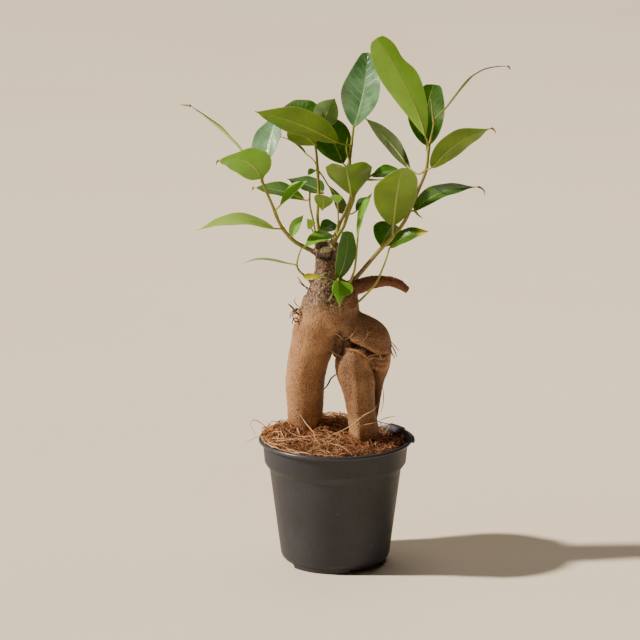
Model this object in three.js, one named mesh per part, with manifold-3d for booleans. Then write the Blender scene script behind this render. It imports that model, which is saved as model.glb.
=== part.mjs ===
// A ficus grown as a bonsai on thick root legs, in a thin nursery pot.
// Millimetres, +Z up. The origin is the centre of the pot's foot, and the front faces -Y.
import * as THREE from 'three';
import { mergeVertices } from 'three/addons/utils/BufferGeometryUtils.js';
import Module from 'manifold-3d';

const wasm = await Module();
wasm.setup();

// ---- Driving dimensions ----

const RIM_RADIUS = 60; // a 12 cm pot, over the rim
const POT_HEIGHT = 101;
const WALL_FOOT = [43.2, 7.6]; // radius and height where the straight taper ends in a round corner
const FOOT_RADIUS = 40.6;
const LIP_HEIGHT = 4.5; // the flare from the band to the rim
const BAND_HEIGHT = 19.5; // the plain band under the lip
const BAND_TAPER = 2.3; // how much narrower the band is at its foot
const BAND_RADIUS = 55.6; // its outside, just under the lip
const BAND_STEP = 1.6; // how far the band stands out from the taper below it
const WALL = 1.2;
const FLOOR = 1.4;
const NOTCH_COUNT = 3; // raised corners of the floor, where the pot drains
const NOTCH_HEIGHT = 3.4;
const NOTCH_ANGLE = 50; // degrees of the foot's edge that each notch takes
const NOTCH_DEPTH = 12; // inwards from the foot's edge
const FIRST_NOTCH = 41; // degrees from the front, towards +X, to the middle of one notch
const DRAIN_RADIUS = 2.5;
const DRAIN_SPACING = 7; // each side of a notch's middle
const POT_SIDES = 42;
const EAR_REACH = 2.4; // how far the rim's ear stands out from the lip
const EARS = [[-12, 16, 1], [24, 31, 0.6]]; // from and to, in degrees behind +X, and share of the reach

const GAP = 0.3; // between pieces that touch
const SOIL_LEVEL = 97; // at the wall
const SOIL_RINGS = 6;

const BLADE = 0.7; // leaf thickness
const PETIOLE = 0.75; // leaf stalk radius
const STEM_SIDES = 6;

const BARK = new THREE.MeshStandardMaterial({ color: 0x8f6b4e, roughness: 0.85, metalness: 0 });
const PLASTIC = new THREE.MeshStandardMaterial({ color: 0x3d3b3d, roughness: 0.5, metalness: 0 });
const COIR = new THREE.MeshStandardMaterial({ color: 0x6e3f26, roughness: 0.95, metalness: 0 });
const LEAF = new THREE.MeshStandardMaterial({ color: 0x4f7a1e, roughness: 0.4, metalness: 0 });
const YOUNG = new THREE.MeshStandardMaterial({ color: 0x86a52c, roughness: 0.45, metalness: 0 });

// ---- Solids ----

/** A closed three.js geometry as a solid that can be joined and cut. */
function solid(geometry) {
  const bare = geometry.clone();
  bare.deleteAttribute('normal');
  bare.deleteAttribute('uv');
  const merged = mergeVertices(bare, 1e-4);
  return new wasm.Manifold(new wasm.Mesh({
    numProp: 3,
    vertProperties: new Float32Array(merged.attributes.position.array),
    triVerts: new Uint32Array(merged.index.array),
  }));
}

/** A solid's surface as a three.js geometry. */
function surface(body) {
  const mesh = body.getMesh();
  const geometry = new THREE.BufferGeometry();
  geometry.setAttribute('position', new THREE.BufferAttribute(new Float32Array(mesh.vertProperties), 3));
  geometry.setIndex(Array.from(mesh.triVerts));
  geometry.computeVertexNormals();
  return geometry;
}

const joined = (bodies) => bodies.reduce((sum, body) => sum.add(body));
const vector = (point) => new THREE.Vector3(...point);
const curveThrough = (points) => new THREE.CatmullRomCurve3(points.map(vector));

/**
 * A root, stem or stalk: a cylinder laid along a smooth curve through the points, as thick at each
 * point as its radius there. grow thickens it all over, and flute gives it shallow lengthwise ribs.
 */
function limb(points, radii, { sides = 6, steps = 3, grow = 0, flute = 0 } = {}) {
  const curve = curveThrough(points);
  const rings = (points.length - 1) * steps;
  const frames = [];
  let side = new THREE.Vector3(1, 0.1, 0.05);
  for (let i = 0; i <= rings; i += 1) {
    const along = curve.getTangent(i / rings);
    side = side.clone().addScaledVector(along, -side.dot(along)).normalize();
    const at = (i / rings) * (points.length - 1);
    const low = Math.min(Math.floor(at), points.length - 2);
    frames.push({
      centre: curve.getPoint(i / rings),
      side,
      across: side.clone().cross(along),
      radius: THREE.MathUtils.lerp(radii[low], radii[low + 1], at - low) + grow,
    });
  }
  const geometry = new THREE.CylinderGeometry(1, 1, 1, sides, rings);
  const { position } = geometry.attributes;
  for (let i = 0; i < position.count; i += 1) {
    const frame = frames[Math.round((position.getY(i) + 0.5) * rings)];
    const [x, z] = [position.getX(i), position.getZ(i)];
    const ribs = 1 + flute * Math.sin(3 * Math.atan2(z, x) + 1);
    const point = frame.centre.clone()
      .addScaledVector(frame.side, x * frame.radius * ribs)
      .addScaledVector(frame.across, z * frame.radius * ribs);
    position.setXYZ(i, point.x, point.y, point.z);
  }
  return solid(geometry);
}

/** A thin sheet with the given thickness, split into the same triangles on both faces. */
function thickened(sheet, thickness) {
  sheet.computeVertexNormals();
  const { position, normal } = sheet.attributes;
  const [count, index] = [position.count, Array.from(sheet.index.array)];
  const points = [];
  for (const lift of [thickness / 2, -thickness / 2]) {
    for (let i = 0; i < count; i += 1) {
      points.push(position.getX(i) + normal.getX(i) * lift);
      points.push(position.getY(i) + normal.getY(i) * lift);
      points.push(position.getZ(i) + normal.getZ(i) * lift);
    }
  }
  const edges = new Set();
  const faces = [...index];
  for (let i = 0; i < index.length; i += 3) {
    const [a, b, c] = index.slice(i, i + 3);
    faces.push(a + count, c + count, b + count);
    for (const [from, to] of [[a, b], [b, c], [c, a]]) edges.add(`${from},${to}`);
  }
  for (const edge of edges) {
    const [from, to] = edge.split(',').map(Number);
    if (!edges.has(`${to},${from}`)) {
      faces.push(to, from, from + count);
      faces.push(to, from + count, to + count);
    }
  }
  const geometry = new THREE.BufferGeometry();
  geometry.setAttribute('position', new THREE.Float32BufferAttribute(points, 3));
  geometry.setIndex(faces);
  return geometry;
}

// ---- Leaves ----

const VIEW = new THREE.Vector3(0, -Math.cos(THREE.MathUtils.degToRad(13)),
  Math.sin(THREE.MathUtils.degToRad(13)));
const SMALL_LEAF = 13; // narrower leaves have one facet on each side of the midrib
const BLADE_END = 0.45; // half the width of a blade where it ends

/**
 * One leaf's shape. The face that shows from the front is its upper side or, with under, its
 * underside. tilt turns the blade about its length, in degrees, from facing the front to lying
 * with its upper side up. bend arches the blade towards its upper side, hook says how far along
 * the arch is highest, fold raises both halves from the midrib, and peak is the widest place.
 */
function leafShape(leaf) {
  const { tilt = 0, bend = 2, hook = 0.5, fold = 12, peak = 0.5, round = 0.75, under = false } = leaf;
  const [base, tip] = [vector(leaf.base), vector(leaf.tip)];
  const along = tip.clone().sub(base).normalize();
  const front = VIEW.clone().addScaledVector(along, -VIEW.dot(along)).normalize();
  let up = along.clone().cross(front);
  if (up.z < 0) up = up.negate();
  const angle = THREE.MathUtils.degToRad(tilt);
  const above = front.multiplyScalar(Math.cos(angle) * (under ? -1 : 1))
    .addScaledVector(up, Math.sin(angle));
  const side = above.clone().cross(along);
  const swell = Math.log(0.5) / Math.log(peak);
  const crest = Math.log(0.5) / Math.log(hook);
  const slope = THREE.MathUtils.degToRad(fold);
  const midrib = (u) => base.clone().lerp(tip, u)
    .addScaledVector(above, bend * Math.sin(Math.PI * u ** crest));
  const half = (u) => (leaf.width / 2) * Math.sin(Math.PI * u ** swell) ** round;
  const at = (u, v) => {
    const reach = Math.max(half(u), BLADE_END) * Math.abs(v);
    const rise = reach * Math.sin(slope) * (0.6 + 0.4 * Math.abs(v));
    return midrib(u).addScaledVector(side, Math.sign(v) * reach * Math.cos(slope))
      .addScaledVector(above, rise);
  };
  return { midrib, at, along, length: base.distanceTo(tip) };
}

/** A blade as a solid: a flat grid laid on the leaf's shape and thickened. */
function blade(leaf) {
  const shape = leafShape(leaf);
  const small = leaf.width < SMALL_LEAF;
  const stations = shape.length > 45 ? 6 : 4;
  const sheet = new THREE.PlaneGeometry(1, 2, stations, small ? 2 : 4);
  const { position } = sheet.attributes;
  for (let i = 0; i < position.count; i += 1) {
    const u = 0.5 - 0.5 * Math.cos(Math.PI * (position.getX(i) + 0.5));
    const point = shape.at(u * 0.35 + (position.getX(i) + 0.5) * 0.65, position.getY(i));
    position.setXYZ(i, point.x, point.y, point.z);
  }
  return solid(thickened(sheet, BLADE));
}

/** A leaf's stalk, from a point on its stem into the first part of its midrib. */
function petiole(leaf, start) {
  const shape = leafShape(leaf);
  const base = vector(leaf.base);
  const reach = start.distanceTo(base);
  const points = [start.toArray()];
  if (reach > 4) {
    const knee = base.clone().addScaledVector(shape.along, -reach * 0.4).lerp(start, 0.25);
    points.push(knee.toArray());
  }
  points.push(shape.midrib(0.02).toArray(), shape.midrib(0.14).toArray());
  const radii = points.map((_, i) => (i === points.length - 1 ? PETIOLE * 0.8 : PETIOLE));
  return limb(points, radii, { sides: 5, steps: 1 });
}

/** A leafy branch: its stem, each leaf's stalk and blade, and its bud tips, joined in one solid. */
function leafyBranch({ stem, radii, leaves, buds = [], twigs = [] }) {
  const curve = curveThrough(stem);
  const bodies = [limb(stem, radii, { sides: STEM_SIDES, steps: 1 })];
  for (const twig of twigs) bodies.push(limb(twig.points, twig.radii, { sides: 5, steps: 1 }));
  for (const leaf of leaves) {
    const carrier = leaf.twig === undefined ? curve : curveThrough(twigs[leaf.twig].points);
    const last = (leaf.twig === undefined ? stem : twigs[leaf.twig].points).length - 1;
    bodies.push(petiole(leaf, carrier.getPoint(leaf.from / last)), blade(leaf));
  }
  for (const bud of buds) bodies.push(limb(bud, [1.1, 0.9, 0.4], { sides: 5, steps: 1 }));
  return joined(bodies);
}

// Each branch starts inside its socket in the trunk. from is the place along the stem, counted in
// its points, where the leaf's stalk starts.
const BRANCHES = {
  branch_left: {
    stem: [
      [-12, 0, 248], [-23, -2, 254], [-32, -6, 260], [-42, -12, 273], [-49, -17, 291], [-57, -22, 311],
    ],
    radii: [2, 1.9, 1.7, 1.5, 1.3, 1],
    leaves: [
      { from: 5, base: [-58, -23, 313], tip: [-91, -46, 331], width: 40, tilt: 42, under: true, fold: 16,
        peak: 0.4 },
      { from: 5, base: [-57, -12, 325], tip: [-51, 10, 358], width: 28, tilt: 5, peak: 0.45 },
      { from: 4.6, base: [-70, -2, 326], tip: [-122, 25, 362], width: 17, tilt: 86, bend: 4, hook: 0.65,
        peak: 0.4 },
      { from: 3.6, base: [-44, -20, 291], tip: [-22, -32, 313], width: 15, tilt: 55 },
      { from: 3.1, base: [-51, -16, 274], tip: [-108, -30, 273], width: 20, tilt: 58, bend: 9, peak: 0.4 },
      { from: 2.3, base: [-34, -10, 266], tip: [-25, -18, 283], width: 11, tilt: 25 },
    ],
  },
  twig_left: {
    stem: [[-14, -2, 222], [-25, -4, 231], [-28, -4, 237], [-29, -6, 245], [-28, -6, 250]],
    radii: [1.3, 1.1, 0.9, 0.9, 0.7],
    leaves: [
      { from: 2.4, base: [-35, -5, 242], tip: [-73, 2, 239], width: 11, tilt: 80, bend: 5, hook: 0.4 },
    ],
  },
  shoot_centre: {
    stem: [
      [-12, 4, 252], [-13, 5, 265], [-14, 6, 278], [-13, 7, 295], [-14, 8, 314], [-15, 8, 328], [-17, 7, 338],
    ],
    radii: [1.4, 1.3, 1.2, 1.2, 1.1, 1, 0.8],
    leaves: [
      { from: 6, base: [-18, 4, 338], tip: [-33, -8, 357], width: 22, tilt: 25, under: true },
      { from: 6, base: [-18, 11, 342], tip: [-34, 30, 366], width: 26, tilt: 20 },
      { from: 5.8, base: [-13, 12, 342], tip: [1, 25, 363], width: 20, tilt: 15, under: true },
      { from: 5, base: [-24, 16, 329], tip: [-52, 26, 341], width: 12, tilt: 78, bend: 3 },
      { from: 2.6, base: [-11, -1, 283], tip: [-10, -26, 297], width: 16, tilt: 40, under: true },
      { from: 1.3, base: [-7, 12, 266], tip: [-4, 31, 275], width: 15, tilt: 35 },
      { from: 4, base: [-16, 14, 304], tip: [9, 28, 276], width: 12, tilt: 15, under: true, bend: 2 },
    ],
  },
  shoot_thin: {
    stem: [[-12, -3, 252], [-15, -1, 261], [-17, 3, 273], [-20, 7, 286], [-20, 10, 296]],
    radii: [1, 0.9, 0.8, 0.8, 0.7],
    leaves: [
      { from: 3.5, base: [-25, 13, 291], tip: [-65, 24, 296], width: 19, tilt: 52, bend: 3 },
      { from: 4, base: [-19, 19, 299], tip: [-42, 40, 306], width: 20, tilt: 40 },
      { from: 1, base: [-19, -2, 270], tip: [-22, -12, 279], width: 8, tilt: 20 },
    ],
  },
  branch_centre_back: {
    stem: [
      [-3, 4, 254], [3, 5, 271], [8, 7, 281], [12, 9, 292], [12, 9, 306], [11, 8, 321], [12, 7, 330],
      [13, 7, 339], [14, 7, 348],
    ],
    radii: [1.6, 1.6, 1.5, 1.5, 1.4, 1.4, 1.3, 1.2, 0.9],
    leaves: [
      { from: 8, base: [14, 7, 349], tip: [23, 16, 405], width: 33, tilt: 5, peak: 0.45, fold: 8 },
      { from: 6.4, base: [3, -2, 338], tip: [-61, -36, 367], width: 29, tilt: 50, under: true, bend: 3,
        peak: 0.45 },
      { from: 5.4, base: [6, 16, 317], tip: [-12, 32, 353], width: 30, tilt: 8 },
      { from: 1.8, base: [16, 8, 281], tip: [27, 19, 290], width: 9, tilt: 40 },
    ],
    buds: [[[11, 8, 321], [8.5, 6, 331], [9.5, 4, 340]]],
  },
  branch_centre_front: {
    stem: [
      [-3, -3, 253], [0, -3, 261], [6, -5, 271], [10, -7, 283], [13, -8, 291], [15, -8, 298],
      [20, -5, 304], [25, -1, 309], [30, 3, 312],
    ],
    radii: [1.7, 1.6, 1.5, 1.4, 1.4, 1.3, 1.2, 1.1, 0.8],
    leaves: [
      { from: 4.2, base: [12, -10, 299], tip: [5, -39, 320], width: 38, tilt: 8, under: true, bend: 1,
        fold: 36 },
      { from: 8, base: [32, 2, 312], tip: [51, 4, 317], width: 15, tilt: 45 },
      { from: 1.2, base: [1, -12, 284], tip: [0, -29, 296], width: 13, tilt: 60 },
      { from: 1, base: [-2, -8, 265], tip: [-25, -20, 258], width: 15, tilt: 50, bend: 3, peak: 0.4 },
    ],
    twigs: [{ points: [[24, -2, 308], [29, 6, 306], [37, 17, 304]], radii: [0.9, 0.9, 0.5] }],
  },
  branch_right: {
    stem: [
      [6, 1, 219], [18, 0, 232], [33, -4, 251], [45, -8, 265], [53, -10, 276], [59, -9, 289], [64, -8, 301],
      [70, -8, 317], [72, -8, 335], [76, -5, 352],
    ],
    radii: [2.6, 2.4, 2.1, 1.9, 1.8, 1.7, 1.6, 1.5, 1.2, 0.6],
    leaves: [
      { from: 8, base: [69, -12, 340], tip: [32, -30, 422], width: 27, tilt: 12, peak: 0.6, under: true },
      { from: 7.8, base: [71, 1, 334], tip: [77, 20, 379], width: 31, tilt: 5 },
      { from: 8.6, base: [79, 0, 357], tip: [136, 26, 391], width: 21, tilt: 86, bend: 14, hook: 0.55,
        peak: 0.4 },
      { from: 7, base: [75, -13, 320], tip: [122, -32, 351], width: 26, tilt: 42, under: true, bend: 3,
        peak: 0.4 },
      { from: 5, base: [63, -2, 284], tip: [117, 20, 289], width: 26, tilt: 52, bend: 5, peak: 0.4 },
      { from: 3, base: [44, -20, 276], tip: [52, -46, 326], width: 37, tilt: 2, under: true, round: 0.65 },
      { from: 2.6, base: [37, 1, 256], tip: [44, 18, 274], width: 25, tilt: 5 },
      { from: 7, base: [60, 8, 313], tip: [24, 42, 349], width: 22, tilt: 40, under: true, bend: 3 },
    ],
  },
  shoot_yellow: {
    stem: [[13, -4, 207], [20, -8, 213], [28, -10, 225], [34, -12, 243], [41, -15, 254]],
    radii: [1.2, 1.1, 1, 0.9, 0.8],
    leaves: [
      { from: 4, base: [44, -17, 257], tip: [74, -26, 268], width: 17, tilt: 48, bend: 3, peak: 0.4 },
    ],
  },
  shoot_front: {
    stem: [[3, -14, 208], [3, -20, 213], [3, -23, 225], [2, -20, 233]],
    radii: [1.2, 1.1, 1, 0.8],
    leaves: [
      { from: 3, base: [3, -17, 235], tip: [10, -19, 272], width: 17, tilt: 10 },
      { from: 3, base: [1, -24, 233], tip: [3, -31, 214], width: 21, tilt: 10, fold: 16, peak: 0.35,
        round: 0.9 },
      { from: 3, base: [-3, -21, 233], tip: [-27, -28, 238], width: 9, tilt: 72, bend: 2 },
    ],
  },
  shoot_upright: {
    stem: [[7, -8, 219], [14, -8, 235], [16, -9, 248], [17, -9, 262]],
    radii: [1.1, 1, 0.9, 0.8],
    leaves: [
      { from: 3, base: [17, -10, 264], tip: [28, -20, 301], width: 13, tilt: 68 },
    ],
  },
};

/** The same stem a little thicker and longer at its foot: the socket that it stands in. */
function socket({ stem, radii }) {
  const [first, second] = [vector(stem[0]), vector(stem[1])];
  const foot = first.clone().addScaledVector(first.clone().sub(second).normalize(), GAP);
  return limb([foot.toArray(), ...stem.slice(1)], radii, { sides: STEM_SIDES, steps: 1, grow: GAP });
}

// ---- Trunk ----

// Each part of the trunk runs through points with a radius at each, from its lower end up.
const ROOTS = [
  { // left leg
    points: [
      [-23, 10, 66], [-24, 10, 92], [-24, 10, 112], [-24, 9, 130], [-24, 8, 146], [-22, 6, 160],
      [-18, 4, 176], [-13, 2, 190], [-9, 1, 202], [-7, 0, 212],
    ],
    radii: [10.5, 13.4, 13.6, 14.8, 15.5, 15.9, 17.4, 19.6, 19.6, 18],
    sides: 16,
    flute: 0.02,
  },
  { // belly and neck
    points: [
      [6, 0, 182], [2, -1, 193], [-2, 0, 205], [-4, 0, 214], [-6, 0, 223], [-7, 0, 230], [-7, 0, 238],
      [-7, 0, 248], [-7, 0, 258],
    ],
    radii: [12, 18.5, 21, 20.8, 15.5, 10.6, 8.8, 8.8, 9.5],
    sides: 16,
    flute: 0.01,
  },
  { // right shoulder, its elbow and the thin leg that turns down behind it
    points: [
      [24, 15, 72], [26, 15, 92], [28, 15, 112], [30, 14, 131], [32, 12, 147], [34, 9, 158],
      [32, 3, 169], [28, -2, 180], [20, -2, 186], [10, -1, 190], [1, 0, 194],
    ],
    radii: [4.2, 4.6, 5, 6.2, 7.5, 8.7, 12, 15.6, 15.5, 15.5, 15],
    sides: 14,
    flute: 0.015,
  },
  { // middle leg, with its top tucked in under the shoulder
    points: [
      [24, -10, 66], [24, -10, 90], [23, -10, 107], [21, -9, 125], [18, -8, 146], [14, -7, 163],
      [13, -7, 173], [12, -3, 179], [11, 0, 188],
    ],
    radii: [7.5, 11, 11, 10.4, 12.8, 14.6, 14.4, 11.5, 10],
    sides: 14,
    flute: 0.04,
  },
  { // stub root
    points: [[2, 0, 219], [9, 0, 221], [17, 1, 222], [28, 3, 225], [41, 4, 226], [50, 5, 223], [57, 6, 218]],
    radii: [6, 6.5, 6, 5.3, 4.3, 3.8, 2.9],
    sides: 8,
    flute: 0,
  },
];

/** Every root of the trunk as a solid, thickened by grow. */
const roots = (grow = 0) => ROOTS.map(({ points, radii, sides, flute }) => (
  limb(points, radii, { sides, steps: 1, grow, flute })));

function trunk() {
  const sockets = joined(Object.values(BRANCHES).map(socket));
  return joined(roots()).subtract(sockets);
}

// ---- Pot and soil ----

const BAND_TOP = POT_HEIGHT - LIP_HEIGHT;
const BAND_FOOT = BAND_TOP - BAND_HEIGHT;
const BAND_FOOT_RADIUS = BAND_RADIUS - BAND_TAPER;
const TAPER_TOP = BAND_FOOT_RADIUS - BAND_STEP;

/** Where the pot's inner wall stands at a height. */
function innerRadius(height) {
  const [low, high] = height < BAND_FOOT
    ? [WALL_FOOT, [TAPER_TOP, BAND_FOOT]]
    : [[BAND_FOOT_RADIUS, BAND_FOOT], [BAND_RADIUS, BAND_TOP]];
  return THREE.MathUtils.mapLinear(height, low[1], high[1], low[0], high[0]) - WALL;
}

/** A profile turned about the upright axis. */
function turned(profile, sides) {
  const points = profile.map(([radius, height]) => new THREE.Vector2(radius, height));
  return new THREE.LatheGeometry(points, sides).rotateX(Math.PI / 2);
}

/** A part of the small ear on the rim: a slice of ring, thick as the lip is high. */
function ear([from, to, share]) {
  const [start, end] = [THREE.MathUtils.degToRad(from), THREE.MathUtils.degToRad(to)];
  const outline = new THREE.Shape();
  outline.absarc(0, 0, RIM_RADIUS + EAR_REACH * share, start, end, false);
  outline.absarc(0, 0, RIM_RADIUS - 2, end, start, true);
  const slice = new THREE.ExtrudeGeometry(outline, { depth: 3, bevelEnabled: false, curveSegments: 5 });
  return slice.translate(0, 0, POT_HEIGHT - 3.4);
}

/** What stands at each notch round the foot: boxes from a depth inside the foot's edge outwards. */
function atNotches(low, high, margin) {
  const width = 2 * FOOT_RADIUS * Math.sin(THREE.MathUtils.degToRad(NOTCH_ANGLE / 2)) + 2 * margin;
  const depth = NOTCH_DEPTH + margin;
  const boxes = [];
  for (let i = 0; i < NOTCH_COUNT; i += 1) {
    const box = new THREE.BoxGeometry(width, depth + 10, high - low);
    box.translate(0, -FOOT_RADIUS + depth / 2 - 5, (low + high) / 2);
    const turn = FIRST_NOTCH + (i * 360) / NOTCH_COUNT;
    boxes.push(solid(box.rotateZ(THREE.MathUtils.degToRad(turn))));
  }
  return joined(boxes);
}

function pot() {
  const outside = [
    [0, 0], [FOOT_RADIUS - 1, 0], [FOOT_RADIUS - 0.3, 0.7], [FOOT_RADIUS, NOTCH_HEIGHT + 0.8],
    [FOOT_RADIUS + 1.6, NOTCH_HEIGHT + 1.8], WALL_FOOT,
  ];
  const profile = [
    ...outside, [TAPER_TOP, BAND_FOOT - 1], [BAND_FOOT_RADIUS, BAND_FOOT], [BAND_RADIUS, BAND_TOP],
    [RIM_RADIUS - 1.6, POT_HEIGHT - 1.6], [RIM_RADIUS, POT_HEIGHT - 0.7], [RIM_RADIUS - 0.3, POT_HEIGHT],
    [RIM_RADIUS - 2, POT_HEIGHT - 0.4], [BAND_RADIUS - WALL, BAND_TOP], [BAND_FOOT_RADIUS - WALL, BAND_FOOT],
    [TAPER_TOP - WALL, BAND_FOOT - 1], [WALL_FOOT[0] - WALL, WALL_FOOT[1]],
    [FOOT_RADIUS - WALL, NOTCH_HEIGHT + 1], [FOOT_RADIUS - WALL - 1, FLOOR], [0, FLOOR],
  ];
  const foot = solid(turned([...outside, [0, WALL_FOOT[1]]], POT_SIDES));
  const raised = atNotches(0, NOTCH_HEIGHT + FLOOR, FLOOR).intersect(foot);
  let body = joined([solid(turned(profile, POT_SIDES)), raised, ...EARS.map((part) => solid(ear(part)))]);
  body = body.subtract(atNotches(-1, NOTCH_HEIGHT, 0));
  for (let i = 0; i < NOTCH_COUNT; i += 1) {
    for (const side of [-1, 1]) {
      const drain = new THREE.CylinderGeometry(DRAIN_RADIUS, DRAIN_RADIUS, 8, 8).rotateX(Math.PI / 2);
      drain.translate(side * DRAIN_SPACING, -FOOT_RADIUS + NOTCH_DEPTH / 2 + 2, NOTCH_HEIGHT);
      const turn = FIRST_NOTCH + (i * 360) / NOTCH_COUNT;
      body = body.subtract(solid(drain.rotateZ(THREE.MathUtils.degToRad(turn))));
    }
  }
  return body;
}

/** How high the coir stands over its level at the wall: mounds, and a hollow at the back right. */
function mound(x, y) {
  const hump = (cx, cy, spread, height) => (
    height * Math.exp(-((x - cx) ** 2 + (y - cy) ** 2) / spread ** 2));
  return hump(-12, 8, 34, 8) + hump(-46, 6, 16, 4) + hump(0, 36, 22, 6) + hump(20, -24, 20, 3)
    - hump(44, 28, 20, 8);
}

function soil() {
  const floor = FLOOR + GAP;
  const shoulder = SOIL_LEVEL - 10;
  const edge = innerRadius(shoulder) - GAP;
  const profile = [
    [0, floor], [FOOT_RADIUS - WALL - 2, floor], [FOOT_RADIUS - WALL - GAP, NOTCH_HEIGHT + 2],
    [WALL_FOOT[0] - WALL - GAP, WALL_FOOT[1] + GAP],
    [innerRadius(BAND_FOOT - 1) - GAP, BAND_FOOT - 1], [innerRadius(BAND_FOOT) - GAP, BAND_FOOT + 1],
    [edge, shoulder],
  ];
  for (let i = 0; i <= SOIL_RINGS; i += 1) profile.push([edge * (1 - i / SOIL_RINGS), SOIL_LEVEL]);
  const geometry = turned(profile, POT_SIDES);
  const { position } = geometry.attributes;
  for (let i = 0; i < position.count; i += 1) {
    const [x, y, z] = [position.getX(i), position.getY(i), position.getZ(i)];
    if (z > SOIL_LEVEL - 1) position.setZ(i, SOIL_LEVEL + mound(x, y));
  }
  const corners = atNotches(-1, NOTCH_HEIGHT + FLOOR + GAP, FLOOR + GAP);
  return solid(geometry).subtract(corners).subtract(joined(roots(GAP)));
}

// ---- Assembly ----

const plant = new THREE.Group();

function place(name, body, material) {
  const mesh = new THREE.Mesh(surface(body), material);
  mesh.name = name;
  plant.add(mesh);
}

place('pot', pot(), PLASTIC);
place('soil', soil(), COIR);
place('trunk', trunk(), BARK);
for (const [name, branch] of Object.entries(BRANCHES)) {
  place(name, leafyBranch(branch), name.startsWith('shoot') ? YOUNG : LEAF);
}

export default plant;
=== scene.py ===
"""A ficus grown as a bonsai on thick root legs, in a thin nursery pot.

Shapes are made in millimetres, +Z up, with the front facing -Y and the origin at the centre of the
pot's foot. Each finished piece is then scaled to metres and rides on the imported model's body.
"""

from __future__ import annotations

import logging
import math
import random
from dataclasses import dataclass
from enum import Enum
from typing import Iterable, Sequence

import bmesh
import bpy
import numpy as np
from mathutils import Matrix, Vector, noise
from mathutils.bvhtree import BVHTree
from mathutils.geometry import interpolate_bezier


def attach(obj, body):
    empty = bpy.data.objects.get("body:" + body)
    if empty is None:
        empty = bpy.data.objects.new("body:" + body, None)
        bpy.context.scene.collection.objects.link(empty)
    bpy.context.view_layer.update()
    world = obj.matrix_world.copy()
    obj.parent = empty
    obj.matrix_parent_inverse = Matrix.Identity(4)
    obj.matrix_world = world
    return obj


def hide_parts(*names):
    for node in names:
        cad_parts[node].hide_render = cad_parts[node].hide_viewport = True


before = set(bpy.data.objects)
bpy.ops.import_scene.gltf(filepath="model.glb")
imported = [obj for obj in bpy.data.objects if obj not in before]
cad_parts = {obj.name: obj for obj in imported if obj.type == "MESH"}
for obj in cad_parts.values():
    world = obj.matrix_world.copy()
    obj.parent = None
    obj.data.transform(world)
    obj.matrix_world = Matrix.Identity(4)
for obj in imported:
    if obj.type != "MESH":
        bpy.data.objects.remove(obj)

LOG = logging.getLogger("plant")
MM = 0.001
BODY = "root"
CLEAR = 1e-4
Point = tuple[float, float, float]
Colour = tuple[float, float, float, float]
Pattern = tuple[float, ...]  # its size in millimetres, then the effect's other values
Shape = bmesh.types.BMesh
Piece = bpy.types.Object
Material = bpy.types.Material
Tree = bpy.types.NodeTree
Node = bpy.types.Node
Socket = bpy.types.NodeSocket


# ---- Shapes ----


def through(value: float, start: float = 0.0, span: float = 1.0) -> float:
    """How far a value has gone through a span, from 0 to 1. The span is negative where it runs down."""
    return min(max((value - start) / span, 0.0), 1.0)


def bell(distance: float, width: float) -> float:
    """A bump of height 1 that fades with the distance from its middle."""
    return math.exp(-(distance / width) ** 2)


def smooth_path(points: Sequence[Point], cuts: int) -> list[Vector]:
    """Runs a smooth line through given points.

    Args:
        points: The points, in millimetres.
        cuts: How many places are added between two points.

    Returns:
        The places on the line, cuts + 1 for each stretch, and its end.
    """
    knots = [Vector(point) for point in points]
    ends = [2 * knots[0] - knots[1], *knots, 2 * knots[-1] - knots[-2]]
    path: list[Vector] = []
    for before, start, stop, after in zip(ends, ends[1:], ends[2:], ends[3:]):
        reach = (stop - start).length / 3
        leave = start + (stop - before).normalized() * reach
        arrive = stop - (after - start).normalized() * reach
        path += interpolate_bezier(start, leave, arrive, stop, cuts + 2)[:-1]
    return [*path, knots[-1]]


def spread(values: Sequence[float], cuts: int) -> list[float]:
    """Fills in values between the given ones, to go with a smooth path.

    Args:
        values: The values at the given points.
        cuts: How many are added in each stretch.

    Returns:
        The values at the places on the path.
    """
    steps = cuts + 1
    count = (len(values) - 1) * steps
    at = [i / steps for i in range(count + 1)]
    return [float(value) for value in np.interp(at, range(len(values)), values)]


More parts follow.
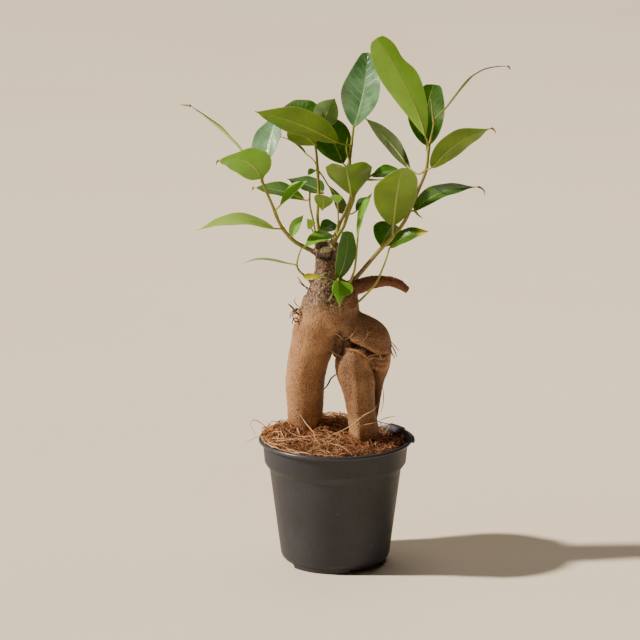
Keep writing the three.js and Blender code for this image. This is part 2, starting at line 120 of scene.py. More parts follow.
def sweep(path: Sequence[Vector], radii: Sequence[float], sides: int, flute: float = 0.0,
          tones: Sequence[float] | None = None) -> Shape:
    """Lays a round body along a path by extruding a ring from place to place.

    Args:
        path: The places on its axis.
        radii: Its radius at each place.
        sides: How many sides the ring has.
        flute: How deep its three lengthwise ribs are, as a share of the radius.
        tones: A value for each place, kept in the first channel of the "blade" attribute.

    Returns:
        The closed body.
    """
    shape = bmesh.new()
    layer = shape.verts.layers.float_color.new("blade")
    shape.loops.layers.uv.new("leaf")
    bmesh.ops.create_circle(shape, cap_ends=True, segments=sides, radius=1.0)
    for vert in shape.verts:
        turn = math.atan2(vert.co.y, vert.co.x)
        vert.co *= 1 + flute * math.sin(3 * turn + 1)
    verts, edges = list(shape.verts), list(shape.edges)
    side = Vector((1.0, 0.1, 0.05))
    last = Matrix.Identity(4)
    for i, (centre, radius) in enumerate(zip(path, radii)):
        along = (path[min(i + 1, len(path) - 1)] - path[max(i - 1, 0)]).normalized()
        side = (side - along * side.dot(along)).normalized()
        across = along.cross(side)
        facing = Matrix((side, across, along)).transposed()
        place = Matrix.LocRotScale(centre, facing, Vector((radius,) * 3))
        if i:
            grown = bmesh.ops.extrude_edge_only(shape, edges=edges)["geom"]
            verts = [item for item in grown if isinstance(item, bmesh.types.BMVert)]
            fresh = set(verts)
            edges = [item for item in grown if isinstance(item, bmesh.types.BMEdge)
                     and fresh.issuperset(item.verts)]
        bmesh.ops.transform(shape, matrix=place @ last.inverted(), verts=verts)
        last = place
        tone = tones[i] if tones else 0.0
        for vert in verts:
            vert[layer] = (tone, 0.0, 0.0, 1.0)
    bmesh.ops.contextual_create(shape, geom=edges)
    bmesh.ops.recalc_face_normals(shape, faces=shape.faces)
    return shape


def spun(profile: Sequence[tuple[float, float]], steps: int, rounding: float = 0.0) -> Shape:
    """Turns an outline about the upright axis.

    Args:
        profile: Radius and height of the outline's corners, from the axis back to the axis.
        steps: How many steps the turn has.
        rounding: How far its corners are rounded off.

    Returns:
        The closed body.
    """
    shape = bmesh.new()
    corners = [shape.verts.new((radius, 0.0, height)) for radius, height in profile]
    shape.faces.new(corners)
    if rounding:
        outer = [vert for vert in shape.verts if vert.co.x > rounding]
        bmesh.ops.bevel(shape, geom=outer, offset=rounding, offset_type="OFFSET", affect="VERTICES",
                        segments=3, profile=0.5, material=-1, clamp_overlap=True)
    axis = [edge for edge in shape.edges if all(vert.co.x < CLEAR for vert in edge.verts)]
    bmesh.ops.delete(shape, geom=list(shape.faces), context="FACES_ONLY")
    bmesh.ops.delete(shape, geom=axis, context="EDGES")
    bmesh.ops.spin(shape, geom=[*shape.verts, *shape.edges], cent=(0, 0, 0), axis=(0, 0, 1),
                   angle=math.tau, steps=steps, use_merge=True)
    bmesh.ops.remove_doubles(shape, verts=shape.verts, dist=CLEAR)
    bmesh.ops.dissolve_degenerate(shape, edges=shape.edges, dist=CLEAR)
    bmesh.ops.recalc_face_normals(shape, faces=shape.faces)
    return shape


def turned(shape: Shape, degrees: float) -> Shape:
    """Turns a shape about the upright axis.

    Args:
        shape: The shape.
        degrees: How far it turns, anticlockwise from above.

    Returns:
        The same shape.
    """
    turn = Matrix.Rotation(math.radians(degrees), 3, "Z")
    bmesh.ops.rotate(shape, cent=(0, 0, 0), matrix=turn, verts=shape.verts)
    return shape


def box(size: Point, centre: Point, turn: float = 0.0) -> Shape:
    """Makes a box, then turns it about the upright axis.

    Args:
        size: Its sides.
        centre: Its middle, before it turns.
        turn: How far it turns, in degrees.

    Returns:
        The box.
    """
    shape = bmesh.new()
    bmesh.ops.create_cube(shape, size=1.0)
    bmesh.ops.scale(shape, vec=size, verts=shape.verts)
    bmesh.ops.translate(shape, vec=centre, verts=shape.verts)
    return turned(shape, turn)


def shape_of(piece: Piece) -> Shape:
    """Copies the shape of an object.

    Args:
        piece: The object.

    Returns:
        A bmesh of that shape.
    """
    shape = bmesh.new()
    shape.from_mesh(piece.data)
    return shape


def placed(name: str, data: bpy.types.ID) -> Piece:
    """Makes an object of some data and puts it in the scene.

    Args:
        name: Its name.
        data: A mesh, curve, light or camera.

    Returns:
        The object.
    """
    piece = bpy.data.objects.new(name, data)
    bpy.context.scene.collection.objects.link(piece)
    return piece


def draft(shape: Shape, name: str, finishes: Sequence[Material] = ()) -> Piece:
    """Makes a shape an object, still in millimetres, and frees it.

    Args:
        shape: The shape.
        name: The object's name.
        finishes: Its materials.

    Returns:
        The object.
    """
    mesh = bpy.data.meshes.new(name)
    shape.to_mesh(mesh)
    shape.free()
    for finish in finishes:
        mesh.materials.append(finish)
    return placed(name, mesh)


def remove(piece: Piece) -> None:
    """Takes a helper object out of the scene."""
    bpy.data.objects.remove(piece, do_unlink=True)


def applied(piece: Piece) -> Piece:
    """Turns a piece with its modifiers, or a curve, into a plain mesh.

    Args:
        piece: The object.

    Returns:
        The mesh object, of the same name.
    """
    name = piece.name
    depsgraph = bpy.context.evaluated_depsgraph_get()
    mesh = bpy.data.meshes.new_from_object(piece.evaluated_get(depsgraph), depsgraph=depsgraph)
    remove(piece)
    mesh.name = name
    return placed(name, mesh)


def combine(piece: Piece, tools: Iterable[Shape], operation: str) -> Piece:
    """Joins bodies to a piece, or cuts them from it.

    Args:
        piece: The object that is worked on.
        tools: The bodies.
        operation: UNION, DIFFERENCE or INTERSECT.

    Returns:
        The new object.
    """
    helpers = [draft(tool, "tool") for tool in tools]
    for helper in helpers:
        cut = piece.modifiers.new("cut", "BOOLEAN")
        cut.solver = "MANIFOLD"
        cut.operation = operation
        cut.object = helper
    piece = applied(piece)
    for helper in helpers:
        remove(helper)
    return piece


def together(name: str, drafts: Sequence[Piece]) -> Piece:
    """Joins draft objects in one.

    Args:
        name: The name of the one.
        drafts: The objects.

    Returns:
        The one object.
    """
    first, chosen = drafts[0], list(drafts)
    with bpy.context.temp_override(active_object=first, object=first, selected_objects=chosen,
                                   selected_editable_objects=chosen):
        bpy.ops.object.join()
    first.name = name
    first.data.name = name
    return first


def present(piece: Piece, nodes: Sequence[str] = (), sharp: float = 50.0) -> None:
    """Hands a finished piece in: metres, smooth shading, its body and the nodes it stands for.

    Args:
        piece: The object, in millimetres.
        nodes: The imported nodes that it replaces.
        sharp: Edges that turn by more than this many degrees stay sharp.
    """
    mesh = piece.data
    mesh.transform(Matrix.Scale(MM, 4))
    mesh.shade_smooth()
    mesh.set_sharp_from_angle(angle=math.radians(sharp))
    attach(piece, BODY)
    if nodes:
        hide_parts(*nodes)
    LOG.info("%s: %d faces", piece.name, len(mesh.polygons))


@dataclass(frozen=True)
class Strand:
    """A thin round thread: its line, its radius and which of the piece's finishes it has."""

    line: Sequence[Vector]
    radius: float
    finish: int = 0

    def radius_at(self, i: int) -> float:
        """Its radius at a place, which is smaller towards both ends."""
        return self.radius * (0.35 + 0.65 * math.sin(math.pi * (i + 0.6) / (len(self.line) + 0.2)))


def threads(name: str, strands: Iterable[Strand], finishes: Sequence[Material]) -> Piece:
    """Makes many thin threads one mesh, each a four-sided tube that thins towards its ends.

    Args:
        name: The object's name.
        strands: The threads.
        finishes: The finishes that their numbers point at.

    Returns:
        The mesh object, in millimetres.
    """
    curve = bpy.data.curves.new(name, "CURVE")
    curve.dimensions = "3D"
    curve.bevel_depth = 1.0
    curve.bevel_resolution = 0
    curve.use_fill_caps = True
    for finish in finishes:
        curve.materials.append(finish)
    for strand in strands:
        spline = curve.splines.new("POLY")
        spline.points.add(len(strand.line) - 1)
        for i, (spot, place) in enumerate(zip(spline.points, strand.line)):
            spot.co = (*place, 1.0)
            spot.radius = strand.radius_at(i)
        spline.material_index = strand.finish
    return applied(placed(name, curve))


# ---- Finishes ----


def colour(code: str) -> Colour:
    """Turns a written colour into the shader's linear values.

    Args:
        code: The colour as six hexadecimal digits.

    Returns:
        The values, with an alpha of 1.
    """
    parts = [int(code[i:i + 2], 16) / 255 for i in (0, 2, 4)]
    linear = [part / 12.92 if part < 0.04045 else ((part + 0.055) / 1.055) ** 2.4 for part in parts]
    return (linear[0], linear[1], linear[2], 1.0)


def per_mm(size: float) -> float:
    """The scale of a pattern on Object coordinates whose marks lie this many millimetres apart."""
    return 1 / (size * MM)


class Nodes:
    """Adds and links the nodes of one material or node group."""

    def __init__(self, tree: Tree) -> None:
        """Works on a node tree."""
        self.tree = tree

    def add(self, kind: str, values: dict | None = None, **settings: object) -> Node:
        """Adds a node.

        Args:
            kind: The node's type, without "ShaderNode" in front.
            values: What each input gets, by name or number: a value, or an output to link.
            settings: The node's own settings.

        Returns:
            The node.
        """
        node = self.tree.nodes.new("ShaderNode" + kind)
        for name, value in settings.items():
            setattr(node, name, value)
        for key, value in (values or {}).items():
            if isinstance(value, Socket):
                self.tree.links.new(value, node.inputs[key])
            else:
                node.inputs[key].default_value = value
        return node

    def math(self, operation: str, first: object, second: object = 0.0) -> Socket:
        """Works out a number from two."""
        return self.add("Math", {0: first, 1: second}, operation=operation).outputs[0]

    def ramp(self, value: Socket, low: object, high: object,
             start: float = 0.0, end: float = 1.0) -> Socket:
        """Runs smoothly from start, where the value is low, to end, where it is high."""
        values = {"Value": value, "From Min": low, "From Max": high, "To Min": start, "To Max": end}
        return self.add("MapRange", values, interpolation_type="SMOOTHSTEP").outputs[0]

    def blend(self, first: object, second: object, share: object) -> Socket:
        """Mixes two colours by a share of the second."""
        return self.add("Mix", {0: share, 6: first, 7: second}, data_type="RGBA").outputs[2]

    def place(self) -> Socket:
        """The place on the piece, in Object coordinates."""
        return self.add("TexCoord").outputs["Object"]

    def part(self, vector: Socket, number: int) -> Socket:
        """One of the three numbers of a vector."""
        return self.add("SeparateXYZ", {0: vector}).outputs[number]

    def stretched(self, vector: Socket, upright: float) -> Socket:
        """The place for a pattern that is drawn out upwards, where upright is less than 1."""
        return self.add("Mapping", {"Vector": vector, "Scale": (1.0, 1.0, upright)}).outputs[0]

    def group(self, tree: Tree, values: dict) -> Node:
        """Adds a shared effect with its own values."""
        return self.add("Group", values, node_tree=tree)

    def mottle(self, place: Socket, size: float, detail: float, low: float, high: float) -> Socket:
        """Adds soft patches, size millimetres apart, which show between two levels of the noise."""
        values = {"Vector": place, "Scale": per_mm(size), "Detail": detail, "Low": low, "High": high}
        return self.group(EFFECTS.mottle, values).outputs[0]

    def specks(self, place: Socket, size: float, width: float, share: float) -> Socket:
        """Adds round marks in cells size millimetres apart, of a width counted in cells."""
        values = {"Vector": place, "Scale": per_mm(size), "Size": width, "Share": share}
        return self.group(EFFECTS.specks, values).outputs[0]

    def times(self, first: object, second: object) -> Socket:
        """Multiplies two numbers."""
        return self.math("MULTIPLY", first, second)

    def mean(self, first: object, second: object) -> Socket:
        """The mean of two numbers."""
        return self.times(self.math("ADD", first, second), 0.5)

    def tint(self, base: object, code: str, mask: Socket, share: float = 1.0) -> Socket:
        """Lays a colour over another where a mask shows, by a share of the mask."""
        return self.blend(base, colour(code), mask if share == 1 else self.times(mask, share))

    def masks(self) -> Sequence[Socket]:
        """The three channels of the piece's "blade" attribute."""
        attribute = self.add("Attribute", attribute_name="blade")
        return self.add("SeparateColor", {0: attribute.outputs["Color"]}).outputs


def effect(name: str, inputs: dict[str, str], outputs: dict[str, str]) -> tuple[Nodes, dict, Node]:
    """Starts a shared effect.

    Args:
        name: The node group's name.
        inputs: The kind of each input.
        outputs: The kind of each output.

    Returns:
        Its nodes, its inputs by name, and the node that takes its outputs.
    """
    tree = bpy.data.node_groups.new(name, "ShaderNodeTree")
    for label, kind in inputs.items():
        tree.interface.new_socket(label, in_out="INPUT", socket_type="NodeSocket" + kind)
    for label, kind in outputs.items():
        tree.interface.new_socket(label, in_out="OUTPUT", socket_type="NodeSocket" + kind)
    given = tree.nodes.new("NodeGroupInput")
    taken = tree.nodes.new("NodeGroupOutput")
    return Nodes(tree), {label: given.outputs[label] for label in inputs}, taken


class Effects:
    """The effects that several finishes share."""

    def __init__(self) -> None:
        """Builds each effect once."""
        self.mottle = self._mottle()
        self.specks = self._specks()
        self.veins = self._veins()

    def _mottle(self) -> Tree:
        """Soft patches: a mask from noise between two levels.

        Returns:
            The node group.
        """
        kinds = {"Vector": "Vector", "Scale": "Float", "Detail": "Float", "Low": "Float", "High": "Float"}
        nodes, given, taken = effect("mottle", kinds, {"Mask": "Float"})
        grain = nodes.add("TexNoise", {key: given[key] for key in ("Vector", "Scale", "Detail")})
        mask = nodes.ramp(grain.outputs[0], given["Low"], given["High"])
        nodes.tree.links.new(mask, taken.inputs["Mask"])
        return nodes.tree

    def _specks(self) -> Tree:
        """Small round marks, of which a share shows.

        Returns:
            The node group.
        """
        kinds = {"Vector": "Vector", "Scale": "Float", "Size": "Float", "Share": "Float"}
        nodes, given, taken = effect("specks", kinds, {"Mask": "Float"})
        cells = nodes.add("TexVoronoi", {"Vector": given["Vector"], "Scale": given["Scale"]})
        near = nodes.ramp(cells.outputs["Distance"], given["Size"], nodes.times(given["Size"], 0.4))
        pick = nodes.add("SeparateColor", {0: cells.outputs["Color"]}).outputs[0]
        kept = nodes.math("LESS_THAN", pick, given["Share"])
        nodes.tree.links.new(nodes.times(near, kept), taken.inputs["Mask"])
        return nodes.tree

    def _veins(self) -> Tree:
        """A blade's midrib and side veins, from its UV map: U along the blade and V across it.

        Returns:
            The node group.
        """
        nodes, given, taken = effect("veins", {"UV": "Vector", "Pairs": "Float"},
                                     {"Midrib": "Float", "Veins": "Float", "Edge": "Float"})
        split = nodes.add("SeparateXYZ", {0: given["UV"]}).outputs
        across = nodes.times(nodes.math("ABSOLUTE", nodes.math("SUBTRACT", split[1], 0.5)), 2.0)
        width = nodes.ramp(split[0], 0.0, 0.9, 0.085, 0.02)
        midrib = nodes.ramp(across, width, nodes.times(width, 0.3))
        along = nodes.math("SUBTRACT", split[0], nodes.times(across, 0.16))
        wave = nodes.math("PINGPONG", nodes.times(along, given["Pairs"]), 0.5)
        lines = nodes.times(nodes.ramp(wave, 0.1, 0.0), nodes.ramp(across, 0.95, 0.6))
        edge = nodes.ramp(across, 0.9, 1.0)
        for label, result in {"Midrib": midrib, "Veins": lines, "Edge": edge}.items():
            nodes.tree.links.new(result, taken.inputs[label])
        return nodes.tree


EFFECTS = Effects()


def new_material(name: str, roughness: float, **constants: object) -> tuple[Material, Nodes, Node]:
    """Starts a material.

    Args:
        name: Its name.
        roughness: Its roughness, where nothing varies it.
        constants: What is the same all over, by the shader's input name with _ for a space.

    Returns:
        The material, its nodes and its shader.
    """
    material = bpy.data.materials.new(name)
    material.use_nodes = True
    nodes = Nodes(material.node_tree)
    shader = material.node_tree.nodes["Principled BSDF"]
    for key, value in {"Roughness": roughness, **constants}.items():
        shader.inputs[key.replace("_", " ")].default_value = value
    return material, nodes, shader


def finish_shader(nodes: Nodes, shader: Node, base: Socket,
                  roughness: Socket | None = None,
                  height: Socket | None = None, relief: float = 0.0) -> None:
    """Links colour, roughness and relief to a shader.

    Args:
        nodes: The material's nodes.
        shader: Its shader.
        base: The colour.
        roughness: The roughness, where it varies.
        height: The relief, from 0 to 1.
        relief: How high the relief is, in millimetres.
    """
    nodes.tree.links.new(base, shader.inputs["Base Color"])
    if roughness is not None:
        nodes.tree.links.new(roughness, shader.inputs["Roughness"])
    if height is not None:
        bump = nodes.add("Bump", {"Height": height, "Strength": 1.0, "Distance": relief * MM})
        nodes.tree.links.new(bump.outputs[0], shader.inputs["Normal"])


@dataclass(frozen=True)
class Plastic:
    """Satin moulded plastic, a little dusty."""

    name: str = "pot_plastic"
    body: str = "25272f"
    worn: str = "30323b"
    # the lip's lighter tone is a painted highlight
    dust: str = "b9aa98"
    lip: str = "43454f"
    roughness: tuple[float, float] = (0.5, 0.62)
    lip_heights: tuple[float, float] = (0.0968, 0.0978)
    patches: Pattern = (35, 4, 0.35, 0.7)
    marks: Pattern = (1.5, 3, 0.3, 0.7)
    grain: Pattern = (0.5, 2, 0.2, 0.8)
    specks: Pattern = (7, 0.055, 0.3)

    def material(self) -> Material:
        """Builds the material: faint patches, upright draw marks, a few specks of dust and a painted
        highlight on the lip.

        Returns:
            The material.
        """
        material, nodes, shader = new_material(self.name, self.roughness[0], Specular_IOR_Level=0.36)
        place = nodes.place()
        patches = nodes.mottle(place, *self.patches)
        marks = nodes.mottle(nodes.stretched(place, 0.08), *self.marks)
        lip = nodes.ramp(nodes.part(place, 2), *self.lip_heights)
        base = nodes.tint(colour(self.body), self.worn, patches)
        base = nodes.tint(base, self.dust, nodes.specks(place, *self.specks))
        # painted highlight: a lighter tone on the lip
        base = nodes.tint(base, self.lip, lip, 0.6)
        rough = nodes.ramp(nodes.mean(patches, marks), 0.0, 1.0, *self.roughness)
        rough = nodes.math("SUBTRACT", rough, nodes.times(lip, 0.2))
        height = nodes.math("ADD", nodes.mottle(place, *self.grain), marks)
        finish_shader(nodes, shader, base, rough, height, 0.02)
        return material


@dataclass(frozen=True)
class Coir:
    """Coconut fibre: one tone of it."""

    name: str
    light: str
    dark: str
    clumps: Pattern = (6, 3, 0.35, 0.65)
    grain: Pattern = (0.9, 3, 0.3, 0.7)

    def material(self) -> Material:
        """Builds the material, which varies from clump to clump and along a fibre.

        Returns:
            The material.
        """
        material, nodes, shader = new_material(self.name, 0.8)
        place = nodes.place()
        grain = nodes.mottle(place, *self.grain)
        share = nodes.mean(nodes.mottle(place, *self.clumps), grain)
        base = nodes.tint(colour(self.dark), self.light, share)
        finish_shader(nodes, shader, base, None, grain, 0.25)
        return material


@dataclass(frozen=True)
class Bark:
    """Thin ficus bark with corky pores. Its "blade" attribute says where it is rough, red or painted with
    shade.
    """

    name: str = "bark"
    body: str = "9b7049"
    light: str = "b98c62"
    shade: str = "7f573a"
    pore: str = "3f2415"
    cork: str = "d8bd98"
    red: str = "7b4a2d"
    crevice_shade: str = "2b0f06"
    bare: str = "7d7650"
    neck: str = "8c7059"
    nub: str = "d9c6b2"
    patches: Pattern = (15, 4, 0.35, 0.68)
    grain: Pattern = (1.2, 4, 0.35, 0.7)
    pores: Pattern = (1.2, 0.34, 0.42)
    corks: Pattern = (2.4, 0.24, 0.4)
    nubs: Pattern = (1.9, 0.5, 0.8)
    flakes: Pattern = (2.9, 0.3, 0.3)

    def material(self) -> Material:
        """Builds the material: patches, dark pores, pale corky points, red root bark and painted shade in
        creases.

        Returns:
            The material.
        """
        material, nodes, shader = new_material(self.name, 0.75)
        place = nodes.place()
        rough, red, crevice_shade = nodes.masks()[:3]
        bare = nodes.add("Attribute", attribute_name="blade").outputs["Alpha"]
        patches = nodes.mottle(place, *self.patches)
        grain = nodes.mottle(place, *self.grain)
        pores = nodes.specks(nodes.stretched(place, 0.55), *self.pores)
        corks = nodes.specks(place, *self.corks)
        nubs = nodes.specks(place, *self.nubs)
        flakes = nodes.specks(place, *self.flakes)
        base = nodes.tint(colour(self.body), self.light, patches)
        base = nodes.tint(base, self.shade, grain, 0.6)
        base = nodes.tint(base, self.pore, pores, 0.7)
        base = nodes.tint(base, self.cork, corks, 0.5)
        nubbly = nodes.tint(colour(self.neck), self.pore, grain, 0.75)
        nubbly = nodes.tint(nubbly, self.nub, nubs, 0.6)
        nubbly = nodes.tint(nubbly, self.nub, flakes, 0.9)
        base = nodes.blend(base, nubbly, nodes.times(rough, 0.9))
        base = nodes.blend(base, nodes.tint(colour(self.red), self.pore, grain, 0.45), red)
        base = nodes.blend(base, nodes.tint(colour(self.bare), self.pore, grain), bare)
        # painted shade, darkest in the creases, gaps and hollows
        base = nodes.tint(base, self.crevice_shade, crevice_shade)
        height = nodes.math("SUBTRACT", nodes.times(grain, 0.5), pores)
        height = nodes.math("ADD", height, nodes.times(nubs, rough))
        finish_shader(nodes, shader, base, nodes.ramp(patches, 0.0, 1.0, 0.58, 0.74), height, 0.6)
        return material


class Side(Enum):
    """The two faces of a blade."""

    UPPER = "upper"
    UNDER = "under"


@dataclass(frozen=True)
class Foliage:
    """One age of leaf: the colours of its two faces, its midrib and how glossy it is above."""

    name: str
    upper: str
    upper_light: str
    under: str
    under_light: str
    midrib: str
    gloss: float = 0.3
    glow: float = 0.12
    shine: float = 0.5
    ribbing: float = 0.05
    yellowed: str = "e2de46"
    withered: str = "5e3a1e"
    patches: Pattern = (14, 3, 0.3, 0.7)
    grain: Pattern = (0.8, 2, 0.2, 0.8)
    pairs: float = 11.0

    def material(self, side: Side) -> Material:
        """Builds the material of one face, or gives it back if it is there.

        Args:
            side: Which face.

        Returns:
            The material.
        """
        name = f"leaf_{self.name}_{side.value}"
        known = bpy.data.materials.get(name)
        if known:
            return known
        above = side is Side.UPPER
        roughness = self.gloss if above else 0.5
        material, nodes, shader = new_material(
            name, roughness, Subsurface_Weight=self.glow, Subsurface_Radius=(0.6, 1.0, 0.2),
            Subsurface_Scale=0.004, Specular_IOR_Level=self.shine if above else 0.3)
        place = nodes.place()
        uv = nodes.add("UVMap", uv_map="leaf").outputs[0]
        tone, brown, yellow = nodes.masks()[:3]
        veins = nodes.group(EFFECTS.veins, {"UV": uv, "Pairs": self.pairs}).outputs
        patches = nodes.mottle(place, *self.patches)
        dark, light = (self.upper, self.upper_light) if above else (self.under, self.under_light)
        base = nodes.tint(colour(dark), light, nodes.mean(patches, tone))
        base = nodes.tint(base, self.midrib, veins["Veins"], self.ribbing)
        base = nodes.tint(base, self.midrib, veins["Midrib"], 0.62)
        base = nodes.tint(base, self.midrib, veins["Edge"], 0.15)
        base = nodes.tint(base, self.yellowed, yellow)
        base = nodes.tint(base, self.withered, brown)
        rough = nodes.ramp(patches, 0.0, 1.0, roughness - 0.05, roughness + 0.07)
        lift = nodes.math("ADD", veins["Midrib"], nodes.times(veins["Veins"], 0.22))
        if above:
            lift = nodes.times(lift, -1.0)
        height = nodes.math("ADD", lift, nodes.times(nodes.mottle(place, *self.grain), 0.12))
        finish_shader(nodes, shader, base, rough, height, 0.3)
        return material


class LeafLook(Enum):
    """The ages of leaf on this tree."""

    MATURE = Foliage("mature", "284c0e", "3f661a", "56681c", "6c7e28", "a9bd70", 0.32, 0.12, 0.34)
    # the pale upper colour and the pale vein streaks of this glossy look are a painted sheen
    SILVER = Foliage("silver", "2f6238", "78a57c", "56681c", "6c7e28", "bcd09c", 0.24, 0.08, 0.8, 0.24)
    DUSTY = Foliage("dusty", "5f7d49", "7b9a60", "68874a", "84a266", "bccc9c", 0.42, 0.16)
    GREEN = Foliage("green", "2b5806", "4c8318", "4c6712", "6f8c24", "b4c67a", 0.34, 0.12, 0.3)
    BRIGHT = Foliage("bright", "5a961c", "76b230", "68972a", "84b440", "c8dc8e", 0.36, 0.2)
    YOUNG = Foliage("young", "86ab3e", "a3c054", "97b14a", "b0c45e", "ccd898", 0.38, 0.22)
    FADED = Foliage("faded", "445223", "566131", "37471d", "465428", "6c7a48", 0.42)


@dataclass(frozen=True)
class Stem:
    """Stem and stalk skin: woody where the "blade" attribute is 1, green at 0, a leaf's rib at -1."""

    name: str = "stem"
    green: str = "7c882c"
    pale: str = "a09c3c"
    wood: str = "8c6f4a"
    dark: str = "66512f"
    rib: str = "a6b248"
    spot: str = "6a4a26"
    patches: Pattern = (5, 4, 0.3, 0.7)
    grain: Pattern = (0.9, 4, 0.35, 0.7)
    spots: Pattern = (1.8, 0.3, 0.35)

    def material(self) -> Material:
        """Builds the material, or gives it back if it is there.

        Returns:
            The material.
        """
        known = bpy.data.materials.get(self.name)
        if known:
            return known
        material, nodes, shader = new_material(self.name, 0.5)
        place = nodes.place()
        age = nodes.masks()[0]
        patches = nodes.mottle(place, *self.patches)
        grain = nodes.mottle(place, *self.grain)
        fresh = nodes.tint(colour(self.green), self.pale, patches)
        fresh = nodes.tint(fresh, self.rib, nodes.ramp(age, -0.4, -1.0))
        woody = nodes.tint(colour(self.wood), self.dark, grain)
        edge = nodes.math("ADD", age, nodes.times(nodes.math("SUBTRACT", patches, 0.5), 0.3))
        base = nodes.blend(fresh, woody, nodes.ramp(edge, 0.15, 0.85))
        spots = nodes.times(nodes.specks(place, *self.spots), nodes.ramp(age, -0.8, 0.0, 0.0, 0.7))
        base = nodes.tint(base, self.spot, spots)
        finish_shader(nodes, shader, base, None, grain, 0.12)
        return material


# ---- Pot ----


@dataclass
class Pot:
    """The thin nursery pot, in millimetres."""

    rim_radius: float = 60.6
    height: float = 101.0
    wall_foot: tuple[float, float] = (43.2, 7.6)
    foot_radius: float = 40.6
    lip_height: float = 3.4
    band_height: float = 15.6
    band_taper: float = 1.4
    band_radius: float = 57.3
    band_step: float = 3.9
    slope_height: float = 5.6
    wall: float = 1.2
    floor: float = 1.4
    notch_count: int = 3
    notch_height: float = 3.4
    notch_angle: float = 50.0
    notch_depth: float = 12.0
    notch_beyond: float = 10.0
    first_notch: float = 41.0
    drain_radius: float = 2.5
    drain_spacing: float = 7.0
    drain_inset: float = 2.0
    steps: int = 144
    rounding: float = 0.35
    ears: tuple[tuple[float, ...], ...] = ((-8.0, 27.0, 2.3, 98.2), (28.5, 44.0, 3.2, 98.9))
    ear_high: float = 100.7
    rib_turn: float = 33.0
    rib_size: tuple[float, float] = (2.6, 1.2)
    rib_sink: float = 0.3
    rib_spacing: float = 1.6

    def __post_init__(self) -> None:
        """Works out the band from the lip, and which way the notches lie."""
        self.band_top = self.height - self.lip_height
        self.band_foot = self.band_top - self.band_height
        self.band_foot_radius = self.band_radius - self.band_taper
        self.taper_top = self.band_foot_radius - self.band_step
        self.slope_foot = self.band_foot - self.slope_height
        self.turns = [self.first_notch + i * 360 / self.notch_count for i in range(self.notch_count)]

    def inner_radius(self, height: float) -> float:
        """Where the inner wall stands at a height.

        Args:
            height: The height over the foot.

        Returns:
            Its radius.
        """
        low, high = self.wall_foot, (self.taper_top, self.slope_foot)
        if height >= self.band_foot:
            low, high = (self.band_foot_radius, self.band_foot), (self.band_radius, self.band_top)
        share = (height - low[1]) / (high[1] - low[1])
        return low[0] + (high[0] - low[0]) * share - self.wall

    def outside(self) -> list[tuple[float, float]]:
        """Draws the foot's outline, up to where the straight taper starts.

        Returns:
            The radius and height of each corner.
        """
        return [(0, 0), (self.foot_radius - 1, 0), (self.foot_radius - 0.3, 0.7),
                (self.foot_radius, self.notch_height + 0.8),
                (self.foot_radius + 1.6, self.notch_height + 1.8), self.wall_foot]

    def profile(self) -> list[tuple[float, float]]:
        """Draws the whole wall's outline, outside and inside.

        Returns:
            The radius and height of each corner.
        """
        rim, top, wall, band = self.rim_radius, self.height, self.wall, self.band_top
        return [
            *self.outside(), (self.taper_top, self.slope_foot),
            (self.taper_top + 2.4, self.band_foot - 2.2), (self.band_foot_radius, self.band_foot),
            (self.band_radius, band), (rim - 1, band + 0.4), (rim, band + 1.1), (rim, top - 1.6),
            (rim - 0.3, top - 0.8), (rim - 0.9, top - 0.2), (rim - 1.7, top), (rim - 2.6, top - 0.3),
            (self.band_radius - wall, band - 0.4), (self.band_foot_radius - wall, self.band_foot),
            (self.taper_top - wall, self.slope_foot - 0.4), (self.wall_foot[0] - wall, self.wall_foot[1]),
            (self.foot_radius - wall, self.notch_height + 1), (self.foot_radius - wall - 1, self.floor),
            (0, self.floor),
        ]

    def at_notches(self, low: float, high: float, margin: float) -> list[Shape]:
        """The box that stands at each notch, from inside the foot's edge outwards.

        Args:
            low: Its lowest height.
            high: Its highest height.
            margin: How much larger than the notch it is.

        Returns:
            The boxes.
        """
        width = 2 * self.foot_radius * math.sin(math.radians(self.notch_angle / 2)) + 2 * margin
        depth = self.notch_depth + margin
        centre = (0.0, (depth - self.notch_beyond) / 2 - self.foot_radius, (low + high) / 2)
        return [box((width, depth + self.notch_beyond, high - low), centre, turn) for turn in self.turns]

    def drains(self) -> list[Shape]:
        """Makes the drain holes, two through the floor over each notch.

        Returns:
            The bodies to cut out.
        """
        inward = self.notch_depth / 2 + self.drain_inset - self.foot_radius
        holes = []
        for turn in self.turns:
            for side in (-1, 1):
                hole = bmesh.new()
                bmesh.ops.create_cone(hole, cap_ends=True, segments=24, radius1=self.drain_radius,
                                      radius2=self.drain_radius, depth=8)
                middle = (side * self.drain_spacing, inward, self.notch_height)
                bmesh.ops.translate(hole, vec=middle, verts=hole.verts)
                holes.append(turned(hole, turn))
        return holes

    def ear(self, start: float, end: float, reach: float, low: float) -> Shape:
        """A part of the small ear on the rim: a section turned through a few degrees.

        Args:
            start: Where it begins, in degrees behind +X.
            end: Where it ends.
            reach: How far it stands out from the lip.
            low: How far down it reaches.

        Returns:
            The body.
        """
        shape = bmesh.new()
        rim, tip = self.rim_radius, self.rim_radius + reach
        section = [(rim - 1.4, self.ear_high - 2), (tip - 1, low), (tip, low + 0.5),
                   (tip - 0.2, low + 1.3), (tip - 0.9, low + 1.7), (rim - 1.4, self.ear_high)]
        face = shape.faces.new([shape.verts.new((radius, 0.0, height)) for radius, height in section])
        turned(shape, start)
        bmesh.ops.spin(shape, geom=[face], cent=(0, 0, 0), axis=(0, 0, 1), steps=14, use_duplicate=False,
                       angle=math.radians(end - start))
        bmesh.ops.recalc_face_normals(shape, faces=shape.faces)
        return shape

    def ribs(self) -> list[Shape]:
        """Makes the two thin upright ribs inside the wall, from the band down into the soil.

        Returns:
            The ribs.
        """
        size = (*self.rib_size, self.band_height - 1)
        radius = self.inner_radius(self.band_foot + 2) - self.rib_sink
        centre = (radius, 0, self.band_foot + self.band_height / 2)
        return [box(size, centre, self.rib_turn + side * self.rib_spacing) for side in (-1, 1)]

